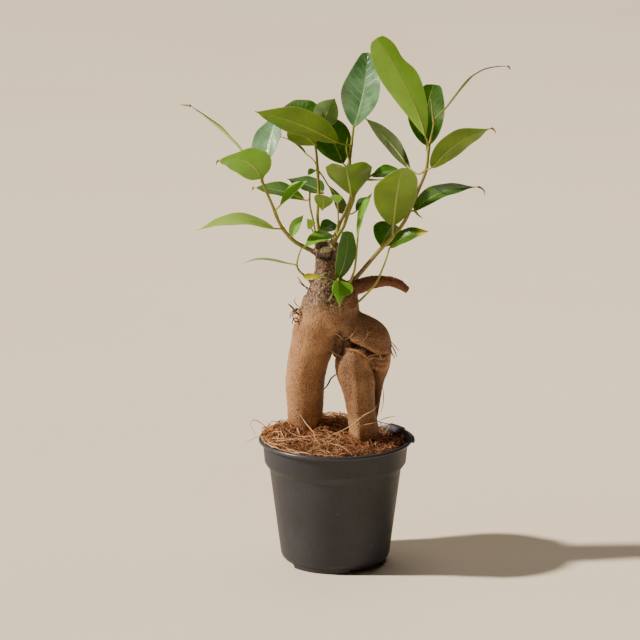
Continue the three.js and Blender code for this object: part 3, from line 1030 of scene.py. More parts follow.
    def build(self) -> None:
        """Builds the pot and hands it in."""
        foot = draft(spun([*self.outside(), (0, self.wall_foot[1])], self.steps), "foot")
        raised = []
        for corner in self.at_notches(0, self.notch_height + self.floor, self.floor):
            block = combine(draft(corner, "corner"), [shape_of(foot)], "INTERSECT")
            raised.append(shape_of(block))
            remove(block)
        remove(foot)
        pot = draft(spun(self.profile(), self.steps, self.rounding), "pot_wall", [Plastic().material()])
        pot = combine(pot, [*raised, *[self.ear(*ear) for ear in self.ears], *self.ribs()], "UNION")
        pot = combine(pot, [*self.at_notches(-1, self.notch_height, 0), *self.drains()], "DIFFERENCE")
        present(pot, ["pot"], sharp=32)


# ---- Soil ----


@dataclass(frozen=True)
class Hump:
    """A rise in the coir, or a hollow: its centre, how wide and how high it is."""

    x: float
    y: float
    spread: float
    height: float

    def at(self, x: float, y: float) -> float:
        """How high it stands at a place."""
        return self.height * math.exp(-((x - self.x) ** 2 + (y - self.y) ** 2) / self.spread ** 2)


@dataclass
class Soil:
    """The coir that fills the pot, with its loose fibres, in millimetres."""

    pot: Pot
    level: float = 97.0
    gap: float = 0.3
    rings: int = 46
    steps: int = 160
    clump: float = 1.5
    fibres: int = 3600
    long_fibres: int = 460
    reach: float = 53.6
    over_rim: float = 58.6
    seed: int = 11
    lumps: tuple[Point, ...] = ((3.0, 7.0, 1.1), (9.0, 2.2, 0.7))
    settling: tuple[float, float] = (47.0, 7.0)
    lip_span: tuple[float, float] = (52.5, 3.5)
    fibre_steps: int = 5
    fibre_length: tuple[float, float] = (5.0, 20.0)
    fibre_lift: float = 6.5
    fibre_curl: float = 1.3
    thin: tuple[float, float] = (0.13, 0.26)
    thick: tuple[float, float] = (0.24, 0.42)
    long_turn: tuple[float, float] = (2.9, 0.7)
    long_start: tuple[float, float] = (15.0, 56.0)
    long_stretch: float = 2.1
    strand_radius: float = 0.36
    bed: Coir = Coir("coir_bed", "6c3c26", "361b10")
    tones: tuple[Coir, ...] = (
        Coir("coir_dark", "80482e", "482413"), Coir("coir_red", "a96442", "703a24"),
        Coir("coir_tan", "cd9866", "955f38"), Coir("coir_pale", "ecca9e", "c79a69"))
    tone_counts: tuple[int, ...] = (26, 34, 28, 12)
    long_tones: tuple[int, ...] = (2, 2, 3)
    humps: tuple[Hump, ...] = (Hump(-12, 8, 34, 8), Hump(-47, 0, 17, 6.5), Hump(0, 36, 22, 6),
                               Hump(20, -24, 20, 3), Hump(44, 28, 20, -8))
    strands: tuple[tuple[Point, ...], ...] = (
        ((-48, 4, 102), (-53.5, -2, 108.5), (-59, -5, 114), (-64.5, -7, 116.6), (-67, -9, 114),
         (-65, -10, 110), (-62.5, -11, 105)),
        ((-50, -9, 102), (-56, -10, 104), (-61.5, -11, 104), (-66, -12, 102), (-71, -12, 99.7)),
        ((-27.9, -5, 121), (-24, -14, 117), (-20, -22, 114), (-17.5, -27, 112.5), (-16, -32, 109),
         (-12, -36, 104)),
        ((-27, -44, 99), (-15, -34, 104), (-5, -28, 109), (10, -26, 116), (22, -24, 125), (30, -22, 129),
         (34, -12, 133)),
        ((10, -27, 113), (22, -24, 117), (30, -20, 118), (33, -8, 116)),
        ((34, 10, 111), (40, 20, 111), (48, 30, 110)),
        ((-26, -48, 100), (-18, -44, 103), (-11, -38, 105), (-1, -34, 104)),
        ((-4, -34, 105), (5, -40, 104), (14, -50, 99)),
        ((-40, -4, 110), (-34, -12, 107), (-26, -18, 106), (-15, -20, 108)),
        ((-53, -20, 102), (-42, -26, 105), (-28, -28, 107), (-14, -30, 106)),
        ((32, -4, 104), (38, 4, 106), (43, 12, 108), (45, 18, 102)),
        ((-28, -40, 103), (-12, -30, 107), (2, -26, 107)),
    )

    def surface(self, x: float, y: float) -> float:
        """How high the coir is at a place.

        Args:
            x: The place, to the right.
            y: The place, to the back.

        Returns:
            Its height over the foot.
        """
        lumps = sum(noise.noise(Vector((x, y, layer)) / size) * tall for layer, size, tall in self.lumps)
        start, span = self.settling
        settle = max(0.0, (math.hypot(x, y) - start) / span)
        rise = sum(hump.at(x, y) for hump in self.humps)
        return self.level + rise * (1 - 0.35 * settle) + self.clump * lumps * (1 - 0.5 * settle)

    def body(self) -> Shape:
        """Makes the coir itself, with a lumpy top.

        Returns:
            The body.
        """
        pot, gap = self.pot, self.gap
        floor = pot.floor + gap
        outline = [
            (0, floor), (pot.foot_radius - pot.wall - 2, floor),
            (pot.foot_radius - pot.wall - gap, pot.notch_height + 2),
            (pot.wall_foot[0] - pot.wall - gap, pot.wall_foot[1] + gap),
            (pot.inner_radius(pot.band_foot - 1) - gap, pot.band_foot - 1),
            (pot.inner_radius(pot.band_foot + 0.5) - gap, pot.band_foot + 1),
            (pot.inner_radius(self.level - 2) - gap, self.level - 2),
            (pot.inner_radius(self.level - 1) - gap - 0.4, self.level),
        ]
        edge = outline[-1][0]
        tops = [(edge * (1 - i / self.rings), self.level) for i in range(1, self.rings + 1)]
        shape = spun([*outline, *tops], self.steps)
        for vert in shape.verts:
            if vert.co.z > self.level - 0.5:
                vert.co.z = self.surface(vert.co.x, vert.co.y)
        return shape

    def resting(self, x: float, y: float) -> float:
        """How high a fibre lies at a place: on the coir, or on the pot's lip."""
        share = through(math.hypot(x, y), *self.lip_span)
        return self.surface(x, y) * (1 - share) + (self.pot.height + 0.4) * share

    def fibre(self, rng: random.Random, turn: float, radius: float, reach: float,
              stretch: float = 1.0) -> list[Vector]:
        """The line of one loose fibre on the coir.

        Args:
            rng: The seeded draw.
            turn: Where it starts, in radians about the axis.
            radius: Where it starts, from the axis.
            reach: How far from the axis it may reach.
            stretch: How much longer than the others it is.

        Returns:
            Its points.
        """
        x, y = radius * math.cos(turn), radius * math.sin(turn)
        steps = self.fibre_steps
        heading, curl = rng.uniform(0, math.tau), rng.gauss(0, self.fibre_curl)
        length, lift = rng.uniform(*self.fibre_length) * stretch, self.fibre_lift * rng.random() ** 4
        line = []
        for i in range(steps + 1):
            rise = 0.2 + lift * math.sin(math.pi * (0.1 + 0.8 * (i / steps))) + rng.uniform(-0.4, 0.6)
            line.append(Vector((x, y, self.resting(x, y) + rise)))
            heading += curl / steps + rng.gauss(0, 0.3)
            x += math.cos(heading) * length / steps
            y += math.sin(heading) * length / steps
            out = math.hypot(x, y)
            if out > reach:
                x, y = x * reach / out, y * reach / out
        return line

    def build(self) -> None:
        """Builds the coir, its fibres and the long strands, and hands them in."""
        present(draft(self.body(), "coir_bed", [self.bed.material()]), ["soil"])
        rng = random.Random(self.seed)
        picks = [tone for tone, count in enumerate(self.tone_counts) for _ in range(count)]
        strands = []
        for _ in range(self.fibres):
            turn, radius = rng.uniform(0, math.tau), self.reach * math.sqrt(rng.random())
            line = self.fibre(rng, turn, radius, self.reach)
            strands.append(Strand(line, rng.uniform(*self.thin), rng.choice(picks)))
        for _ in range(self.long_fibres):
            turn, radius = rng.gauss(*self.long_turn), rng.uniform(*self.long_start)
            line = self.fibre(rng, turn, radius, self.over_rim, self.long_stretch)
            strands.append(Strand(line, rng.uniform(*self.thick), rng.choice(self.long_tones)))
        strands += [Strand(smooth_path(points, 6), self.strand_radius, 3) for points in self.strands]
        present(threads("coir_fibres", strands, [tone.material() for tone in self.tones]))


# ---- Leaves and branches ----

VIEW = Vector((0.0, -math.cos(math.radians(13)), math.sin(math.radians(13))))


@dataclass(frozen=True)
class Leaf:
    """One leaf. The face that shows from the front is its upper side or, with under, its underside.

    start is where its stalk leaves the stem, counted in the stem's points. tilt turns the blade about
    its length, in degrees, from facing the front to lying with its upper side up. bend arches it, hook
    says how far along the arch is highest, fold raises both halves from the midrib, peak is the widest
    place, round how full its outline is, and drip how drawn out its tip is. sway bows the midrib towards
    its left edge, seen with the tip up, and twist turns the blade from its stalk to its tip. dent is the
    place and the depth of a dent in one edge. brown and yellow are the shares of its length that have
    withered or stayed yellow at the tip, and tail runs on from the tip as a thin withered thread.
    """

    start: float
    base: Point
    tip: Point
    width: float
    look: LeafLook
    tilt: float = 0.0
    bend: float = 2.0
    hook: float = 0.5
    fold: float = 12.0
    peak: float = 0.5
    round: float = 0.75
    under: bool = False
    drip: float = 0.6
    brown: float = 0.0
    yellow: float = 0.0
    tone: float = 0.5
    sway: float = 0.0
    twist: float = 0.0
    dent: tuple[float, float] = (0.5, 0.0)
    tail: tuple[Point, ...] = ()


class Blade:
    """A leaf's shape in space."""

    thickness = 0.45
    end = 0.35
    columns = 40
    rows = 16
    crowding = 0.35
    dent_width = 0.12
    waviness = 0.022
    waves = 2.3
    wave_lag = 1.3

    def __init__(self, leaf: Leaf) -> None:
        """Works out the leaf's directions.

        Args:
            leaf: The leaf.
        """
        self.leaf = leaf
        self.base, self.tip = Vector(leaf.base), Vector(leaf.tip)
        self.along = (self.tip - self.base).normalized()
        front = (VIEW - self.along * VIEW.dot(self.along)).normalized()
        up = self.along.cross(front)
        if up.z < 0:
            up = -up
        angle = math.radians(leaf.tilt)
        self.above = front * (math.cos(angle) * (-1 if leaf.under else 1)) + up * math.sin(angle)
        self.side = self.above.cross(self.along)
        self.swell = math.log(0.5) / math.log(leaf.peak)
        self.crest = math.log(0.5) / math.log(leaf.hook)
        self.phase = (leaf.base[0] * 0.37 + leaf.tip[2] * 0.61) % 1

    def midrib(self, u: float) -> Vector:
        """The place on the midrib at a share of its length."""
        bow = self.above * self.leaf.bend + self.side * self.leaf.sway
        return self.base.lerp(self.tip, u) + bow * math.sin(math.pi * through(u) ** self.crest)

    def half(self, u: float) -> float:
        """Works out how wide the blade is.

        Args:
            u: The share of its length.

        Returns:
            Half its width there.
        """
        full = math.sin(math.pi * u ** self.swell)
        later = max(0.0, (u - self.leaf.peak) / (1 - self.leaf.peak))
        drawn = self.leaf.round * (1 + self.leaf.drip * 0.9 * later ** 3)
        return max(self.leaf.width / 2 * max(full, 0.0) ** drawn, self.end)

    def at(self, u: float, v: float) -> Vector:
        """A place on the blade.

        Args:
            u: Its share of the length, from the stalk.
            v: Its share of half the width, from -1 to 1.

        Returns:
            The place.
        """
        slope = math.radians(self.leaf.fold)
        reach = self.half(u) * abs(v)
        if v > 0:
            place, depth = self.leaf.dent
            reach *= 1 - depth * bell(u - place, self.dent_width)
        rise = reach * math.sin(slope) * (0.6 + 0.4 * abs(v))
        lag = self.wave_lag if v > 0 else 0
        wave = self.waviness * self.leaf.width * math.sin(math.tau * (self.waves * u + self.phase) + lag)
        rise += wave * v * v * math.sin(math.pi * u)
        turn = math.radians(self.leaf.twist * (u - 0.5))
        side = self.side * math.cos(turn) + self.above * math.sin(turn)
        above = self.above * math.cos(turn) - self.side * math.sin(turn)
        return self.midrib(u) + side * math.copysign(reach * math.cos(slope), v) + above * rise

    def sheet(self) -> Shape:
        """Lays out the blade in small faces, upper side out, with its UV map and its tip's colours.

        Returns:
            The sheet.
        """
        shape = bmesh.new()
        layer = shape.verts.layers.float_color.new("blade")
        uv = shape.loops.layers.uv.new("leaf")
        bmesh.ops.create_grid(shape, x_segments=self.columns, y_segments=self.rows, size=1.0)
        for loop in (loop for face in shape.faces for loop in face.loops):
            loop[uv].uv = (loop.vert.co.x / 2 + 0.5, loop.vert.co.y / 2 + 0.5)
        for vert in shape.verts:
            share, v = vert.co.x / 2 + 0.5, vert.co.y
            u = self.crowding * (0.5 - 0.5 * math.cos(math.pi * share)) + (1 - self.crowding) * share
            brown, yellow = self.faded(u, self.leaf.brown), self.faded(u, self.leaf.yellow)
            vert[layer] = (self.leaf.tone, brown, yellow, 1.0)
            vert.co = self.at(u, v)
        return shape

    def faded(self, u: float, extent: float) -> float:
        """Works out how far a place has turned yellow or brown.

        Args:
            u: Its share of the length.
            extent: The share of the blade's end that turns.

        Returns:
            How far, from 0 to 1.
        """
        if not extent:
            return 0.0
        share = through(u - 1 + 1.4 * extent, 0.0, extent)
        return share * share * (3 - 2 * share)


@dataclass(frozen=True)
class Branch:
    """A stem with its leaves and bud spikes. woody gives how woody it is, from its foot to its end."""

    stem: tuple[Point, ...]
    radii: tuple[float, ...]
    leaves: tuple[Leaf, ...]
    woody: tuple[float, ...] = (0.5, 0.1)
    spikes: tuple[tuple[Point, ...], ...] = ()


class LeafyBranch:
    """Builds one branch: its stem, its leaves' stalks and midribs, their blades and its bud spikes."""

    stalk = 0.75
    cuts = 5
    sides = 10
    swelling = 0.22
    swell_width = 0.13
    ribs = (0.02, 0.12, 0.24, 0.38, 0.54, 0.7)
    spike_radius = 1.15
    tail_radius = 1.0

    def __init__(self, name: str, branch: Branch) -> None:
        """Takes the branch's node name and its sizes.

        Args:
            name: The name of its node.
            branch: Its sizes.
        """
        self.name = name
        self.branch = branch
        self.path = smooth_path(branch.stem, self.cuts)

    def stem(self) -> Shape:
        """Makes the stem, with a swelling where each stalk leaves it.

        Returns:
            The body.
        """
        steps = self.cuts + 1
        radii = spread(self.branch.radii, self.cuts)
        for i, _ in enumerate(radii):
            near = min(abs(i / steps - leaf.start) for leaf in self.branch.leaves)
            radii[i] *= 1 + self.swelling * bell(near, self.swell_width)
        woody = self.branch.woody
        tones = np.interp(np.linspace(0, len(woody) - 1, len(radii)), range(len(woody)), woody).tolist()
        return sweep(self.path, radii, self.sides, tones=tones)

    def petiole(self, leaf: Leaf) -> Shape:
        """A leaf's stalk, which runs on under the blade as its midrib.

        Args:
            leaf: The leaf.

        Returns:
            The body.
        """
        blade = Blade(leaf)
        start = self.path[round(leaf.start * (self.cuts + 1))]
        base = blade.base
        reach = (base - start).length
        points = [start]
        if reach > 4:
            points.append((base - blade.along * (reach * 0.4)).lerp(start, 0.25))
        free, lower = len(points), blade.above * (self.stalk * -0.2)
        points += [blade.midrib(u) + lower * (1 - 0.6 * u) for u in self.ribs]
        radii = [self.stalk * 1.15, self.stalk * 0.95][:free]
        radii += [self.stalk * (0.9 - 1.25 * u ** 0.6) + 0.18 for u in self.ribs]
        radii = [radius * min(1.0, 0.6 + leaf.width / 40) for radius in radii]
        tones = [-0.3] * free + [-0.6] + [-1.0] * (len(self.ribs) - 1)
        path = smooth_path([tuple(point) for point in points], 3)
        return sweep(path, spread(radii, 3), 8, tones=spread(tones, 3))

    def taper(self, points: Sequence[Point], radius: float, age: float) -> Shape:
        """A thin pointed body along points: a bud spike, or a leaf's withered tip.

        Args:
            points: Its points, from the foot to the tip.
            radius: Its radius at the foot.
            age: How woody it is.

        Returns:
            The body.
        """
        path = smooth_path(points, 4)
        radii = [radius * (1 - 0.75 * i / (len(path) - 1)) for i in range(len(path))]
        return sweep(path, radii, 8, tones=[age] * len(path))

    def blade(self, leaf: Leaf) -> Piece:
        """Makes a leaf's blade, with its thickness and the finishes of its two faces.

        Args:
            leaf: The leaf.

        Returns:
            The blade.
        """
        finishes = [leaf.look.value.material(side) for side in Side]
        sheet = draft(Blade(leaf).sheet(), "sheet", finishes)
        wall = sheet.modifiers.new("wall", "SOLIDIFY")
        wall.thickness = Blade.thickness
        wall.offset = 0.0
        wall.use_even_offset = True
        wall.material_offset = 1
        return applied(sheet)

    def build(self) -> None:
        """Builds the branch and hands it in."""
        leaves = self.branch.leaves
        drafts = [self.blade(leaf) for leaf in sorted(leaves, key=lambda leaf: leaf.look.name)]
        skin = Stem().material()
        drafts.append(draft(self.stem(), "stem", [skin]))
        thorns = [self.taper(spike, self.spike_radius, 0.1) for spike in self.branch.spikes]
        tails = [self.taper((leaf.tip, *leaf.tail), self.tail_radius, 1.0)
                 for leaf in leaves if leaf.tail]
        stalks = [self.petiole(leaf) for leaf in leaves]
        drafts += [draft(shape, "stalk", [skin]) for shape in (*stalks, *thorns, *tails)]
        present(together(self.name + "_leaves", drafts), [self.name])


MATURE, SILVER, DUSTY, GREEN, BRIGHT, YOUNG, FADED = LeafLook

BRANCHES: dict[str, Branch] = {
    "branch_left": Branch(
        stem=((-12, 0, 248), (-23, -2, 254), (-32, -6, 260), (-42, -12, 273), (-49, -17, 291),
              (-57, -22, 311)),
        radii=(1.9, 1.8, 1.6, 1.4, 1.2, 0.9),
        woody=(0.7, 0.0),
        leaves=(
            Leaf(5, (-57, -23, 312.5), (-89.5, -46, 331), 36, BRIGHT, tilt=47, bend=9.2, hook=0.38,
                 under=True, fold=5, peak=0.23, round=0.8, drip=0.2, sway=2.2, twist=18, yellow=0.05,
                 tone=-0.4, tail=((-90.5, -47, 330), (-91, -47, 328))),
            Leaf(5, (-52, -12, 325.2), (-45.8, 10, 357.3), 30, SILVER, tilt=35, bend=1, fold=23, peak=0.3,
                 round=0.87, drip=0.1, sway=0.4, twist=30, tone=1.0),
            Leaf(4.6, (-71.5, -2, 329.5), (-113, 24, 361.5), 15, YOUNG, tilt=84, bend=1.5, hook=0.4,
                 peak=0.4, drip=1.3, brown=0.2, tone=0.0, twist=-24,
                 tail=((-116.5, 26, 361.5), (-121, 28, 361.5))),
            Leaf(3.6, (-43, -20, 291), (-22, -32, 312.5), 13, BRIGHT, tilt=56, tone=1.0),
            Leaf(2.8, (-47.5, -16, 272), (-107, -30, 273.5), 18, YOUNG, tilt=58, bend=8, peak=0.4,
                 drip=1.4, yellow=0.06, tone=0.0),
            Leaf(2.3, (-35, -10, 264.5), (-25, -18, 283), 9, BRIGHT, tilt=25, tone=0.3),
        ),
    ),
    "twig_left": Branch(
        stem=((-14, -2, 222), (-24.5, -4, 232.5), (-28.5, -4, 236.5), (-30, -5, 241.5),
              (-28.5, -6, 249.5), (-26.5, -6, 254.5)),
        radii=(1.2, 1, 0.8, 0.75, 0.7, 0.6),
        woody=(0.4, -0.6, -0.75),
        leaves=(
            Leaf(2.1, (-34.5, -5, 242), (-73.5, 2, 240), 8, DUSTY, tilt=80, bend=3.5, hook=0.6, drip=1.2,
                 yellow=0.08, tone=0.2),
        ),
    ),
    "shoot_centre": Branch(
        stem=((-12, 4, 252), (-13, 5, 265), (-14, 6, 278), (-13, 7, 295), (-14, 8, 314), (-15, 8, 328),
              (-17, 7, 338)),
        radii=(1.4, 1.3, 1.2, 1.2, 1.1, 1, 0.8),
        woody=(0.15, 0.0),
        leaves=(
            Leaf(6, (-15.5, 4, 334), (-35, -8, 352.5), 26, GREEN, tilt=25, under=True, tone=0.5),
            Leaf(6, (-14, 11, 341.5), (-37, 30, 362), 31, MATURE, tilt=20, round=0.65, drip=-0.4,
                 tone=0.3),
            Leaf(5.8, (-11.5, 12, 347), (-0.5, 25, 367), 21, DUSTY, tilt=15, under=True, tone=1.0),
            Leaf(4.1, (-23, 14, 325.5), (-44, 26, 337), 9.5, FADED, tilt=80, bend=2, tone=0.3),
            Leaf(2.6, (-10, -1, 284), (-9.8, -20, 299.2), 15, GREEN, tilt=-6, under=True, bend=0.5,
                 fold=4, peak=0.65, round=0.51, drip=0, sway=0.5, twist=-21.4, tone=0.9),
            Leaf(1.3, (-11.5, 12, 264), (0.5, 28, 266.5), 14, GREEN, tilt=30, drip=0, tone=0.0),
            Leaf(3.8, (-16, 5, 314), (-21.5, 0, 311), 5.5, BRIGHT, tilt=30, drip=0.4, tone=0.4),
            Leaf(4, (-5.9, 13, 300.8), (6, 26, 275.5), 9.5, FADED, tilt=30, under=True, bend=0.5,
                 fold=4.7, peak=0.73, round=0.4, drip=-0.48, sway=-2, tone=1.0),
        ),
    ),
    "shoot_thin": Branch(
        stem=((-12, -3, 252), (-15, -1, 261), (-17, 3, 273), (-20, 7, 286), (-20, 10, 296)),
        radii=(1, 0.9, 0.8, 0.8, 0.7),
        woody=(0.7, 0.5),
        leaves=(
            Leaf(3.5, (-24, 12, 289), (-64, 24, 296.5), 19, MATURE, tilt=52, bend=3, drip=1.2,
                 yellow=0.06, tone=0.6, tail=((-65, 25, 295.5), (-65, 25, 294))),
            Leaf(4, (-10, 14, 295), (-38, 30, 302.5), 22, MATURE, tilt=54, bend=1, peak=0.36, drip=1.0,
                 brown=0.1, tone=0.0),
            Leaf(1, (-19, -2, 270), (-22, -12, 279), 8, YOUNG, tilt=20, tone=0.4),
        ),
    ),
    "branch_centre_back": Branch(
        stem=((-3, 4, 254), (3, 5, 271), (8, 7, 281), (12, 9, 292), (12, 9, 306), (11, 8, 321),
              (12, 7, 330), (13, 7, 339), (14, 7, 348)),
        radii=(1.6, 1.5, 1.4, 1.4, 1.3, 1.2, 1.1, 1, 0.8),
        woody=(0.5, 0.1),
        leaves=(
            Leaf(8, (14.5, 7, 347.5), (25, 16, 404.4), 34, SILVER, tilt=24, bend=1.4, fold=18, peak=0.45,
                 round=0.9, drip=-0.6, sway=-2.8, twist=26, tone=0.2),
            Leaf(6.4, (2, -2, 337), (-61.5, -36, 367), 30, GREEN, tilt=48, under=True, bend=4, peak=0.45,
                 drip=0.9, tone=0.45),
            Leaf(5.4, (6, 16, 317), (-12, 32, 353), 30, MATURE, tilt=8, tone=0.1),
            Leaf(1.8, (16, 8, 281), (27, 19, 290), 9, MATURE, tilt=40, tone=0.4),
        ),
        spikes=(((11, 8, 321), (8.5, 6, 331), (9.5, 4, 340)),),
    ),
    "branch_centre_front": Branch(
        stem=((-3, -3, 253), (0, -3, 261), (6, -5, 271), (10, -7, 283), (13, -8, 291), (15, -8, 298),
              (20, -5, 304), (25, -1, 309), (30, 3, 312)),
        radii=(1.6, 1.5, 1.4, 1.3, 1.3, 1.2, 1.1, 1, 0.7),
        woody=(0.35, 0.3),
        leaves=(
            Leaf(4.2, (12, -10, 297.5), (7.5, -36, 324), 42, GREEN, tilt=12, under=True, bend=1, fold=32,
                 round=0.55, drip=-0.2, tone=0.5),
            Leaf(8, (28.5, 2, 309.5), (50, 5, 313.5), 14, GREEN, tilt=45, drip=0, tone=0.3),
            Leaf(1.2, (1.3, -14, 291.1), (0, -24, 300.1), 9.5, BRIGHT, tilt=-3, bend=1.4, fold=4,
                 peak=0.88, round=0.3, drip=0, sway=-0.7, twist=-18, tone=1.0),
            Leaf(1, (-2, -8, 265), (-25, -20, 258), 15, BRIGHT, tilt=50, bend=3, peak=0.4, drip=1.2,
                 tone=0.1),
        ),
        spikes=(((24, -2, 308), (30.5, 4, 306.5), (37.5, 8, 306)),),
    ),
    "branch_right": Branch(
        stem=((6, 1, 219), (18, 0, 232), (33, -4, 251), (45, -8, 265), (53, -10, 276), (59, -9, 289),
              (64, -8, 301), (70, -8, 317), (72, -8, 335), (76, -5, 352)),
        radii=(2.1, 1.8, 1.6, 1.55, 1.5, 1.45, 1.4, 1.25, 1, 0.5),
        woody=(0.9, 0.75, 0.4, 0.1, 0.6, 0.9, 0.5, 0.0, 0.0),
        leaves=(
            Leaf(8, (68.5, -11, 344), (31, -30, 422.5), 30.5, BRIGHT, tilt=0, bend=1.6, hook=0.4, fold=25,
                 peak=0.6, round=0.51, under=True, drip=-0.25, tone=1.3, sway=3.6, twist=25,
                 dent=(0.71, 0.3)),
            Leaf(7.8, (70.5, 1, 334), (76, 20, 379), 29, MATURE, tilt=5, round=0.58, drip=-0.5, tone=0.1,
                 sway=3),
            Leaf(8.6, (83, 0, 362), (134, 28, 392), 10, FADED, tilt=86, bend=9, hook=0.6, fold=4,
                 peak=0.4, drip=0.6, brown=0.5, tone=0.7, tail=((135, 28, 391), (136, 28, 389))),
            Leaf(7, (73.5, -12, 319), (118.5, -32, 353.5), 23, GREEN, tilt=42, under=True, bend=7,
                 peak=0.4, drip=1.4, brown=0.06, tone=0.4, tail=((120.5, -33, 352.5), (122, -34, 350))),
            Leaf(5, (61, -2, 283), (111.5, 20, 298), 21, MATURE, tilt=55, bend=7, hook=0.42, peak=0.38,
                 drip=1.4, tone=1.0, tail=((114.5, 21, 296.5), (116.5, 22, 294), (117, 22, 291))),
            Leaf(3, (44.4, -19, 275.2), (50.2, -46, 325.3), 36.4, GREEN, tilt=21, under=True, bend=4.3,
                 fold=11, peak=0.5, round=0.57, drip=0.3, sway=0.9, twist=17, tone=1.0),
            Leaf(2.6, (35.5, 1, 254.5), (45, 18, 269), 25, MATURE, tilt=5, drip=-0.3, round=0.65,
                 tone=0.3),
            Leaf(7, (58, 6, 314.5), (23.5, 42, 348.5), 15, FADED, tilt=40, under=True, bend=3, tone=0.0),
        ),
        spikes=(((75.5, -6, 354), (74.5, -6, 361.5), (73, -5, 371.5)),
                ((61.5, -3, 283.5), (64, -4, 280.5), (67.5, -5, 278))),
    ),
    "shoot_yellow": Branch(
        stem=((13, -4, 207), (19.5, -7, 213.5), (25.5, -8, 220), (31.5, -9, 227.5), (36.5, -10, 239),
              (39.5, -12, 248), (41.5, -14, 255.5)),
        radii=(1, 0.95, 0.9, 0.85, 0.8, 0.75, 0.7),
        woody=(-0.5, -0.75),
        leaves=(
            Leaf(6, (42, -15, 257), (71.5, -26, 272), 15, MATURE, tilt=46, bend=4, peak=0.45, drip=0.5,
                 yellow=0.2, tone=1.0),
        ),
    ),
    "shoot_front": Branch(
        stem=((3, -14, 208), (3, -20, 213), (3, -23, 225), (2, -20, 233)),
        radii=(1.2, 1.1, 1, 0.8),
        woody=(-0.1, -0.2),
        leaves=(
            Leaf(3, (2, -17, 232.5), (9.1, -19, 270.8), 15.5, GREEN, tilt=-20, bend=1, fold=4, peak=0.58,
                 round=0.4, drip=-0.5, sway=-2.2, twist=19, tone=-0.4),
            Leaf(3, (2.3, -24, 232.6), (3, -31, 214.6), 23.5, BRIGHT, tilt=39, bend=1.6, fold=28,
                 peak=0.35, round=0.9, drip=1.4, sway=-1.9, tone=0.3, dent=(0.7, 0.5)),
            Leaf(3, (-0.5, -21, 231), (-25, -28, 236.6), 5.5, BRIGHT, tilt=26, bend=5, hook=0.44, fold=2,
                 peak=0.86, round=0.6, drip=0.2, yellow=0.5, tone=1.0),
        ),
    ),
    "shoot_upright": Branch(
        stem=((7, -8, 219), (14, -8, 235), (16, -9, 248), (17, -9, 262)),
        radii=(1.1, 1, 0.9, 0.8),
        woody=(0.0, -0.6, -0.75),
        leaves=(
            Leaf(3, (17, -10, 264), (28, -20, 301), 13, BRIGHT, tilt=68, tone=-0.4),
        ),
    ),
}


# ---- Trunk ----


@dataclass(frozen=True)
class Root:
    """A part of the trunk: points with a radius at each, from its lower end up, and its ribs' depth."""

    points: tuple[Point, ...]
    radii: tuple[float, ...]
    flute: float = 0.0


@dataclass(frozen=True)
class Mark:
    """A groove along a line on the bark, or a ridge where depth is below 0.

    dark is how much painted shade it lays along the line, and torn how much its depth comes and goes
    along the line. With a depth of 0 it is only painted shade.
    """

    points: tuple[Point, ...]
    width: float
    depth: float
    dark: float = 0.0
    torn: float = 0.0


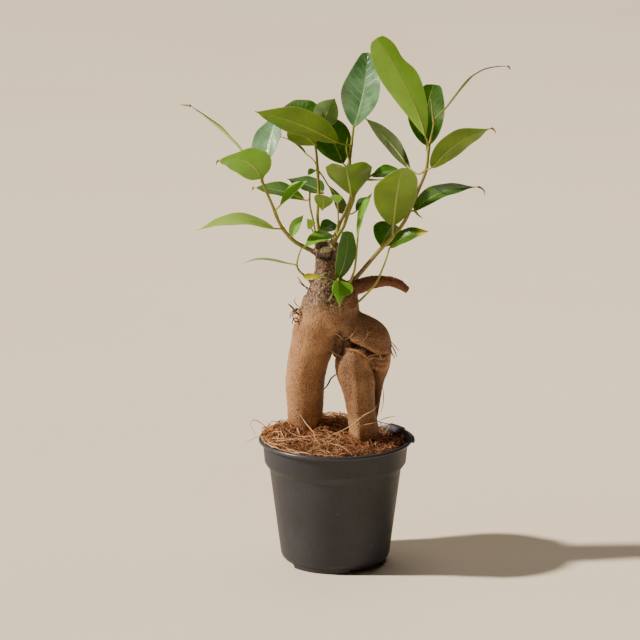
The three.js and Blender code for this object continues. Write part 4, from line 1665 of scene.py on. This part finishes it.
@dataclass
class Trunk:
    """The trunk with its root legs, its scar and its fine rootlets, in millimetres."""

    voxel: float = 0.85
    collar: tuple[float, ...] = (1.7, 1.7, 1.6, 1.35, 1.05)
    joins: tuple[float, float] = (188.0, 214.0)
    crease_top: float = 192.0
    crease_least: float = 0.25
    crease_depth: float = 1.6
    stub_over: float = 208.0
    stub_span: tuple[float, float] = (6.0, 8.0)
    neck_span: tuple[float, float] = (200.0, 16.0)
    rear_spans: tuple[tuple[float, float], ...] = ((2.0, 6.0), (168.0, -16.0), (20.0, 4.0))
    lump_sizes: tuple[tuple[float, float], ...] = ((0.7, 15.0), (0.22, 4.5), (0.1, 1.6))
    scar: Point = (-7.5, -6.0, 253.2)
    scar_facing: Point = (-0.1, -0.45, 0.88)
    scar_radius: float = 7.3
    tones: tuple[Coir, ...] = (
        Coir("rootlet_pale", "d8b288", "a0724e"), Coir("rootlet_dark", "96694a", "583a28"),
        Coir("stalk_stub", "a3a67c", "838a5c"))
    roots: tuple[Root, ...] = (
        Root(  # left leg
            ((-23, 10, 66), (-24, 10, 92), (-24, 10, 112), (-24, 9, 130), (-24, 8, 146), (-22, 6, 160),
             (-18, 4, 176), (-13, 2, 190), (-9, 1, 202), (-7, 0, 212)),
            (10.5, 13.4, 13.6, 14.8, 15.5, 15.9, 17.4, 19.6, 19.6, 18), 0.02),
        Root(  # belly and neck
            ((6, 0, 182), (2, -1, 193), (-2, 0, 205), (-4, 0, 214), (-6, 0, 223), (-7, 0, 230),
             (-7, 0, 238), (-7, 0, 248), (-7, 0, 258)),
            (12, 18.5, 21, 20.8, 15.5, 10.6, 8.8, 8.8, 9.5), 0.01),
        Root(  # right shoulder, its elbow and the thin leg behind it
            ((24, 15, 72), (26, 15, 92), (28, 15, 112), (30, 14, 131), (32, 12, 147), (34, 9, 158),
             (32, 1, 169), (28, -4, 180), (20, -4, 186), (10, -2, 190), (1, 0, 194)),
            (4.2, 4.6, 5, 6.2, 7.5, 8.7, 12, 15.6, 15.5, 15.5, 15), 0.015),
        Root(  # middle leg
            ((24, -10, 66), (23.6, -9.6, 90), (22.3, -9.3, 107), (20.2, -8.3, 125), (17.3, -6.2, 146),
             (14, -4, 160), (15.5, -2.5, 169), (15.5, -1.5, 177), (14, 0, 186)),
            (7.5, 11.4, 11.8, 11.4, 13.7, 15, 14.8, 14.6, 12), 0.025),
        Root(  # the notch between the legs
            ((-6, -2, 190), (-1, -5, 183), (0, -5, 177), (1.5, -4, 171.5), (1, -3.4, 167)),
            (8, 7, 6.2, 4.4, 3)),
        Root(  # stub root
            ((2, 0, 219), (9, 0, 221), (17, 1, 222), (28, 3, 225), (41, 4, 226), (50, 5, 223),
             (57, 6, 218)),
            (6, 6.5, 6, 5.3, 4.3, 3.8, 2.9)),
    )
    # The dark of these marks is painted shade: the shadow in the gaps and hollows between the legs, under
    # the bulge and in the creases.
    marks: tuple[Mark, ...] = (
        Mark(((8.9, -16.5, 183.7), (11.3, -16.2, 180.4), (15.2, -17, 178.6), (19, -18.3, 177.3),
              (22.9, -18.5, 175.3), (26.9, -17.4, 172.7), (30.8, -15.6, 170.6), (34.7, -14, 169.4),
              (38.7, -11, 168.7), (41.9, -6.6, 168.4)), 1.6, 5.6, 1.3, 0.4),  # gap under the bulge
        Mark(((12.8, -18, 185.2), (19, -19.3, 183), (25.2, -19.7, 180), (31.5, -18, 176.3),
              (37.8, -13.9, 173.6)), 2.6, -1.2),  # its lip
        Mark(((8.2, -14.9, 176.1), (12.8, -17, 176.4), (16.7, -17, 175.6), (20.6, -17, 173.8),
              (24.5, -15.6, 171), (27.7, -13, 167.4)), 0.9, -1.5, 0.0, 0.9),  # torn bark
        Mark(((9, -14, 173.6), (14, -16, 173.6), (19, -16, 171.6), (24, -15, 168)), 0.8, 0.8, 0.55, 0.6),
        Mark(((3.5, -17.5, 188), (0.5, -15, 183), (-0.8, -11.5, 176), (0.5, -9, 171)),
             4.6, 0.5, 0.9),  # hollow between the legs
        Mark(((6.5, -15, 183.5), (5.4, -12.5, 177.5), (4.6, -12, 171.5)), 4.6, 0.5, 1.0),
        Mark(((9.7, -15.9, 181.1), (12.1, -16.2, 179.2), (14.4, -16.9, 178.1)), 1.5, 2.5, 1.3, 0.2),
        Mark(((23.7, -17.2, 172.6), (27.7, -15.8, 170.7), (32.4, -14.4, 169.1)), 1.5, 2.5, 1.3, 0.2),
        Mark(((14.5, -16, 166), (15.3, -18.5, 156), (16, -20.5, 144.6), (16.8, -19.4, 128),
              (18.4, -20.3, 112), (18.5, -19.8, 98)), 3.4, -1.1),
        Mark(((21.3, -20.4, 148), (21.6, -20.4, 136), (21.8, -20.3, 120), (22, -21, 102)),
             1.4, 0.9, 0.15),
        Mark(((30, -11, 166), (34, -9.5, 164.4), (38, -7, 164), (41, -5, 164)), 2.8, 2.6, 0.7, 0.4),
        Mark(((31, -6, 160), (33.5, -4, 158), (38, -2.5, 158.5)), 2.8, 2.2, 0.6, 0.6),  # under the ledge
        Mark(((29.5, -10, 165), (30.3, -9, 158), (31, -8, 150), (31.6, -7, 138), (32.3, -9, 122),
              (33.2, -12, 106)), 1.6, 1.8, 0.8),
        Mark(((31, 4, 160), (31.5, 6, 150), (31.5, 8, 138), (30.5, 9, 122), (30, 10, 105)),
             3.4, 1.6, 0.95),
        Mark(((-12.5, -9, 190), (-4, -14, 189), (2, -15, 186)), 2.4, 0.8, 0.1),
        # From here on, marks of depth 0 are painted shade alone: the shaded sides of the legs, the bulge
        # and the hollow.
        Mark(((6, -13, 169), (7, -15, 159), (8, -17, 147), (11, -17, 131)), 10.0, 0.0, 0.45),  # painted shade
        Mark(((10, -18, 194), (20, -20, 188), (31, -17, 181), (38, -11, 176)), 13.0, 0.0, 0.45),
        Mark(((13, -16, 170), (20, -18, 167)), 6.0, 0.0, 0.36),
        Mark(((26, -17, 154), (27, -16, 132), (28, -16, 108)), 5.0, 0.0, 0.36),
        Mark(((-12, -2, 172), (-11, 0, 150), (-11, 2, 128), (-11, 2, 100)), 6.0, 0.0, 0.42),
        Mark(((-3, -9, 170), (0, -9, 168), (3, -9, 169)), 4.5, 0.0, 0.7),
    )
    rootlets: tuple[tuple[float, tuple[Point, ...]], ...] = (
        (0.4, ((6.5, -17, 183), (12, -20, 188), (15, -20, 192), (17, -20, 197))),
        (0.35, ((6, -17, 181), (2, -18, 186), (-3, -18, 190))),
        (0.3, ((10, -19, 186), (14, -19, 184), (18, -19, 184))),
        (0.35, ((20, -19, 179), (22, -18, 184), (25, -17, 189), (24, -17, 195))),
        (0.3, ((22, -18, 185), (26, -17, 190), (29, -16, 191))),
        (0.45, ((11, -19, 177), (16, -20, 177.5), (20, -20, 176), (24, -19, 172), (27, -17, 168))),
        (0.4, ((14, -19, 176), (18, -19, 174), (22, -19, 173.5), (24, -18, 170))),
        (0.35, ((8, -18, 177), (12, -19, 175), (15, -19, 172))),
        (0.45, ((27, -18, 171), (33, -16, 169.5), (38, -13, 166), (41, -9, 163))),
        (0.3, ((-4, -17, 172), (1, -17, 171), (6, -17, 171.5))),
        (0.3, ((30, -8, 160), (32, -8, 155), (31, -8, 148), (33, -8, 142))),
    )
    hairs: tuple[tuple[float, tuple[Point, ...]], ...] = (
        (0.7, ((-11, 7, 137), (-6, 6, 142), (-3, 4, 148), (4, 0, 154))),
        (0.75, ((42, -4, 178), (45, -6, 175), (46.5, -6, 172), (48, -8, 168))),
        (0.7, ((41, -6, 176), (43.5, -6, 173), (44.5, -6, 170), (46.5, -7, 166.5))),
        (0.4, ((42, -2, 179), (46, -2, 176), (50, -2, 171))),
        (0.8, ((-27, -5, 201), (-31, -7, 204), (-34, -8, 208), (-37, -9, 211))),
        (0.6, ((-28, -5, 197), (-31, -7, 199), (-33, -8, 198), (-34, -9, 194))),
        (0.6, ((-27, -5, 205), (-30, -7, 206), (-33, -8, 204), (-33, -10, 198))),
        (0.45, ((-28, -8, 203), (-31, -10, 206), (-34, -11, 205), (-36, -12, 201))),
        (0.5, ((-27, -6, 203), (-30, -8, 207), (-32, -9, 205), (-31, -10, 200))),
        (0.45, ((-28, -6, 200), (-31, -8, 203), (-34, -9, 202), (-36, -10, 199))),
        (0.5, ((-27, -6, 198), (-30, -7, 196), (-32, -8, 197), (-33, -9, 201))),
        (0.4, ((-28, -4, 206), (-31, -6, 210), (-32, -7, 213), (-31, -8, 216))),
        (0.7, ((-17, -2, 217), (-22, -2, 221), (-26, -4, 226), (-30, -6, 232))),
        (0.55, ((-15, -5, 219), (-20, -6, 222), (-25, -8, 225), (-29, -9, 229))),
        (0.35, ((36, 12, 140), (38, 10, 134), (38, 8, 128), (36, 8, 118))),
        (0.35, ((33, 10, 136), (35, 8, 131), (33, 8, 124), (34, 8, 117))),
    )
    stubs: tuple[tuple[float, tuple[Point, ...]], ...] = (
        (1.0, ((-6.5, -15, 213), (-5, -20, 217), (-3, -22, 221), (-2, -22, 224))),
        (0.9, ((2.4, -15, 210), (3, -20, 213.5), (4.2, -21, 216.7))),
    )

    def draft_body(self) -> Piece:
        """Runs the roots and the branches' collars together in one even mesh.

        Returns:
            The mesh object.
        """
        bodies = []
        for root in self.roots:
            path = smooth_path(root.points, 4)
            bodies.append(draft(sweep(path, spread(root.radii, 4), 36, root.flute), "root"))
        for branch in BRANCHES.values():
            path = smooth_path(branch.stem, 5)[:len(self.collar)]
            radii = [branch.radii[0] * swell for swell in self.collar]
            bodies.append(draft(sweep(path, radii, 14), "collar"))
        body = together("trunk_body", bodies)
        remesh = body.modifiers.new("even", "REMESH")
        remesh.mode = "VOXEL"
        remesh.voxel_size = self.voxel
        return applied(body)

    def smooth(self, shape: Shape) -> None:
        """Softens the joins: everywhere a little, and where roots run into each other a lot.

        Args:
            shape: The trunk.
        """
        low, high = self.joins
        self._soften(shape, shape.verts, 3)
        self._soften(shape, [vert for vert in shape.verts if low < vert.co.z < high], 12)

    def _soften(self, shape: Shape, verts: Iterable[bmesh.types.BMVert], rounds: int) -> None:
        """Evens out some of a shape's corners.

        Args:
            shape: The shape.
            verts: The corners.
            rounds: How many times.
        """
        verts = list(verts)
        for _ in range(rounds):
            bmesh.ops.smooth_vert(shape, verts=verts, factor=0.5, use_axis_x=True, use_axis_y=True,
                                  use_axis_z=True)

    def hollows(self, shape: Shape) -> np.ndarray:
        """Finds how hollow the bark is: how far smoothing would fill it.

        Args:
            shape: The trunk.

        Returns:
            The fill at each corner, in millimetres.
        """
        filled = shape.copy()
        self._soften(filled, filled.verts, 40)
        rise = [(full.co - vert.co).dot(vert.normal) for vert, full in zip(shape.verts, filled.verts)]
        filled.free()
        return np.array(rise)

    def carve(self, places: np.ndarray) -> tuple[np.ndarray, np.ndarray]:
        """How deep the marks go at each place, and how much painted shade they lay there.

        Args:
            places: The places on the bark.

        Returns:
            The depths, in millimetres, and the painted shade, from 0 to 1.
        """
        depth, dark = np.zeros(len(places)), np.zeros(len(places))
        ragged = np.array([noise.noise(Vector(place) / 1.7) for place in places])
        for mark in self.marks:
            line = np.array([tuple(point) for point in smooth_path(mark.points, 7)])
            far = np.sqrt(((places[:, None, :] - line[None, :, :]) ** 2).sum(2)).min(1)
            near = np.exp(-(far / mark.width) ** 2) * (1 + 1.6 * mark.torn * ragged)
            depth += mark.depth * near
            dark = np.maximum(dark, np.clip(mark.dark * near, 0, 1))
        return depth, dark

    def texture(self, shape: Shape) -> None:
        """Gives the bark its lumps, its nubbly neck, its scar and its creases, and paints shade into its
        hollows and marks.

        Args:
            shape: The trunk.
        """
        layer = shape.verts.layers.float_color.new("blade")
        shape.normal_update()
        places = np.array([tuple(vert.co) for vert in shape.verts])
        depths, darks = self.carve(places)
        hollows = np.clip(self.hollows(shape) - self.crease_least, 0, 1.2)
        hollows *= places[:, 2] < self.crease_top
        depths = depths + self.crease_depth * hollows
        # painted shade: the deeper a hollow or crease, the darker
        darks = np.maximum(darks, np.clip(hollows * 1.1, 0, 0.9))
        for vert, depth, dark in zip(shape.verts, depths, darks):
            place = vert.co.copy()
            stub = through(place.x, *self.stub_span) if place.z > self.stub_over else 0.0
            neck = through(place.z, *self.neck_span) * (1 - stub)
            rear = math.prod(through(at, *span) for at, span in zip(place.yzx, self.rear_spans))
            knobs = noise.voronoi(place / 2.1)[0][0]
            lift = self.lumps(place) + neck * (1.3 * (0.42 - knobs) + 0.7 * noise.noise(place / 3.6))
            rings = noise.noise(Vector((place.x / 1.4, 0, 1)))
            lift += stub * (0.3 * noise.noise(place / 2.2) + 0.3 * rings)
            # darker in the dips between the neck's knobs: partly its dark pits, partly painted shade
            dark = max(dark, neck * 0.75 * through(knobs, 0.44, 0.3))
            place, lift, dark, bare = self.healed(place, vert.normal, lift, dark)
            vert.co = place + vert.normal * (lift - depth)
            vert[layer] = (neck, max(stub, rear * 0.9), dark, bare)

    def lumps(self, place: Vector) -> float:
        """How far the bark stands out all over, in lumps of three sizes."""
        return sum(height * noise.noise(place / size) for height, size in self.lump_sizes)

    def healed(self, place: Vector, out: Vector, lift: float,
               dark: float) -> tuple[Vector, float, float, float]:
        """Flattens the sawn top of the neck, with a lip and a groove round it.

        Args:
            place: A place on the bark.
            out: The bark's direction there.
            lift: How far the bark stands out there.
            dark: How dark it is.

        Returns:
            The place, lift and darkness with the scar, and how bare the wood is.
        """
        facing = Vector(self.scar_facing).normalized()
        away = place - Vector(self.scar)
        height, radius = away.dot(facing), self.scar_radius
        if away.length >= radius * 2 or out.dot(facing) <= -0.2:
            return place, lift, dark, 0.0
        ring = (away - facing * height).length
        groove = bell(ring - radius + 1.7, 0.7)
        flat = through(ring, radius + 1, -1.5)
        bare = 0.85 * through(ring, radius - 0.4, -1.2)
        lift = lift * 0.4 + 1.1 * bell(ring - radius, 1.0) - 0.9 * groove
        dark = max(dark * (1 - bare), 0.9 * groove, 0.7 * bell(ring - radius - 2, 0.8))
        return place - facing * (max(height, 0.0) * flat), lift, dark, bare

    def rooted(self, tree: BVHTree, radius: float, points: Sequence[Point], finish: int) -> Strand:
        """A rootlet that lies on the bark all along, or a hair or stub that only starts in it.

        Args:
            tree: The bark's surface.
            radius: Its radius.
            points: Its points.
            finish: The number of its finish, which is 0 for what lies on the bark.

        Returns:
            The strand.
        """
        knots = [Vector(point) for point in points]
        for i, knot in enumerate(knots):
            if finish == 0 or i == 0:
                place, normal = tree.find_nearest(knot)[:2]
                knots[i] = place + normal * (radius * 0.7 if i else -radius)
        return Strand(smooth_path([tuple(knot) for knot in knots], 5), radius, finish)

    def build(self) -> None:
        """Builds the trunk and its rootlets, and hands them in."""
        body = self.draft_body()
        shape = shape_of(body)
        remove(body)
        self.smooth(shape)
        self.texture(shape)
        tree = BVHTree.FromBMesh(shape)
        strands = [self.rooted(tree, radius, points, finish)
                   for finish, group in enumerate((self.rootlets, self.hairs, self.stubs))
                   for radius, points in group]
        present(draft(shape, "trunk_bark", [Bark().material()]), ["trunk"])
        present(threads("rootlets", strands, [tone.material() for tone in self.tones]))


# ---- Studio ----


@dataclass
class Studio:
    """The pale floor, the soft light from the left and the camera, in metres."""

    eye: Point = (-0.0121, -2.5, 0.784)
    pitch: float = 13.24
    focal_pixels: float = 3281.0
    image_pixels: float = 640.0
    sensor: float = 36.0
    floor_size: float = 16.0
    sun_turn: float = -85.0
    sun_height: float = 37.0
    sun_power: float = 6.9
    sun_spread: float = 4.0
    fill_power: float = 0.02
    window_power: float = 2.4
    window_size: float = 1.0
    window_place: Point = (-2.2, -1.3, 0.9)
    sky_power: float = 21.0
    sky_size: float = 2.0
    sky_place: Point = (0.2, 0.9, 2.4)
    warm: Point = (1.0, 0.87, 0.7)
    cool: Point = (0.88, 0.94, 1.0)
    room: Colour = (1.0, 0.88, 0.75, 1.0)
    floor_tones: tuple[str, str] = ("f7e9d6", "faefdf")
    floor_patches: Pattern = (500, 2, 0.3, 0.7)
    aim: Point = (0.0, 0.0, 0.2)

    def floor(self) -> None:
        """Lays the floor."""
        shape = bmesh.new()
        bmesh.ops.create_grid(shape, x_segments=1, y_segments=1, size=self.floor_size / 2)
        material, nodes, shader = new_material("floor_pale", 0.7)
        under, over = self.floor_tones
        patches = nodes.mottle(nodes.place(), *self.floor_patches)
        finish_shader(nodes, shader, nodes.tint(colour(under), over, patches))
        draft(shape, "floor", [material])

    def light(self) -> None:
        """Hangs a warm sun and a cool window on the left, a soft light overhead and a faint fill."""
        sun = bpy.data.lights.new("key", "SUN")
        sun.energy = self.sun_power
        sun.angle = math.radians(self.sun_spread)
        sun.color = self.warm
        turn = (math.radians(90 - self.sun_height), 0.0, math.radians(self.sun_turn))
        placed("key", sun).rotation_euler = turn
        self.panel("window", self.window_power, self.window_size, self.window_place, self.cool)
        self.panel("sky", self.sky_power, self.sky_size, self.sky_place, self.warm)
        world = bpy.data.worlds.new("room")
        world.use_nodes = True
        room = world.node_tree.nodes["Background"]
        room.inputs["Color"].default_value = self.room
        room.inputs["Strength"].default_value = self.fill_power
        bpy.context.scene.world = world

    def panel(self, name: str, power: float, size: float, place: Point, tint: Point) -> None:
        """Hangs a square soft light that faces the plant.

        Args:
            name: Its name.
            power: Its power, in watts.
            size: Its side.
            place: Where it hangs.
            tint: Its colour.
        """
        area = bpy.data.lights.new(name, "AREA")
        area.energy = power
        area.size = size
        area.color = tint
        lamp = placed(name, area)
        lamp.location = place
        lamp.rotation_euler = (Vector(self.aim) - Vector(place)).to_track_quat("-Z", "Y").to_euler()

    def camera(self) -> None:
        """Places the camera where the photograph was taken from."""
        lens = bpy.data.cameras.new("camera")
        lens.sensor_width = self.sensor
        lens.lens = self.sensor * self.focal_pixels / self.image_pixels
        lens.clip_end = 100.0
        camera = placed("camera", lens)
        camera.location = self.eye
        camera.rotation_euler = (math.radians(90 - self.pitch), 0.0, 0.0)
        bpy.context.scene.camera = camera

    def build(self) -> None:
        """Sets up floor, light and camera."""
        self.floor()
        self.light()
        self.camera()
        LOG.info("studio ready")


def main() -> None:
    """Builds every piece in order."""
    logging.basicConfig(level=logging.INFO, format="%(name)s %(message)s")
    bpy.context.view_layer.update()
    Studio().build()
    pot = Pot()
    pot.build()
    Soil(pot).build()
    Trunk().build()
    for name, branch in BRANCHES.items():
        LeafyBranch(name, branch).build()


if __name__ == "__main__":
    main()
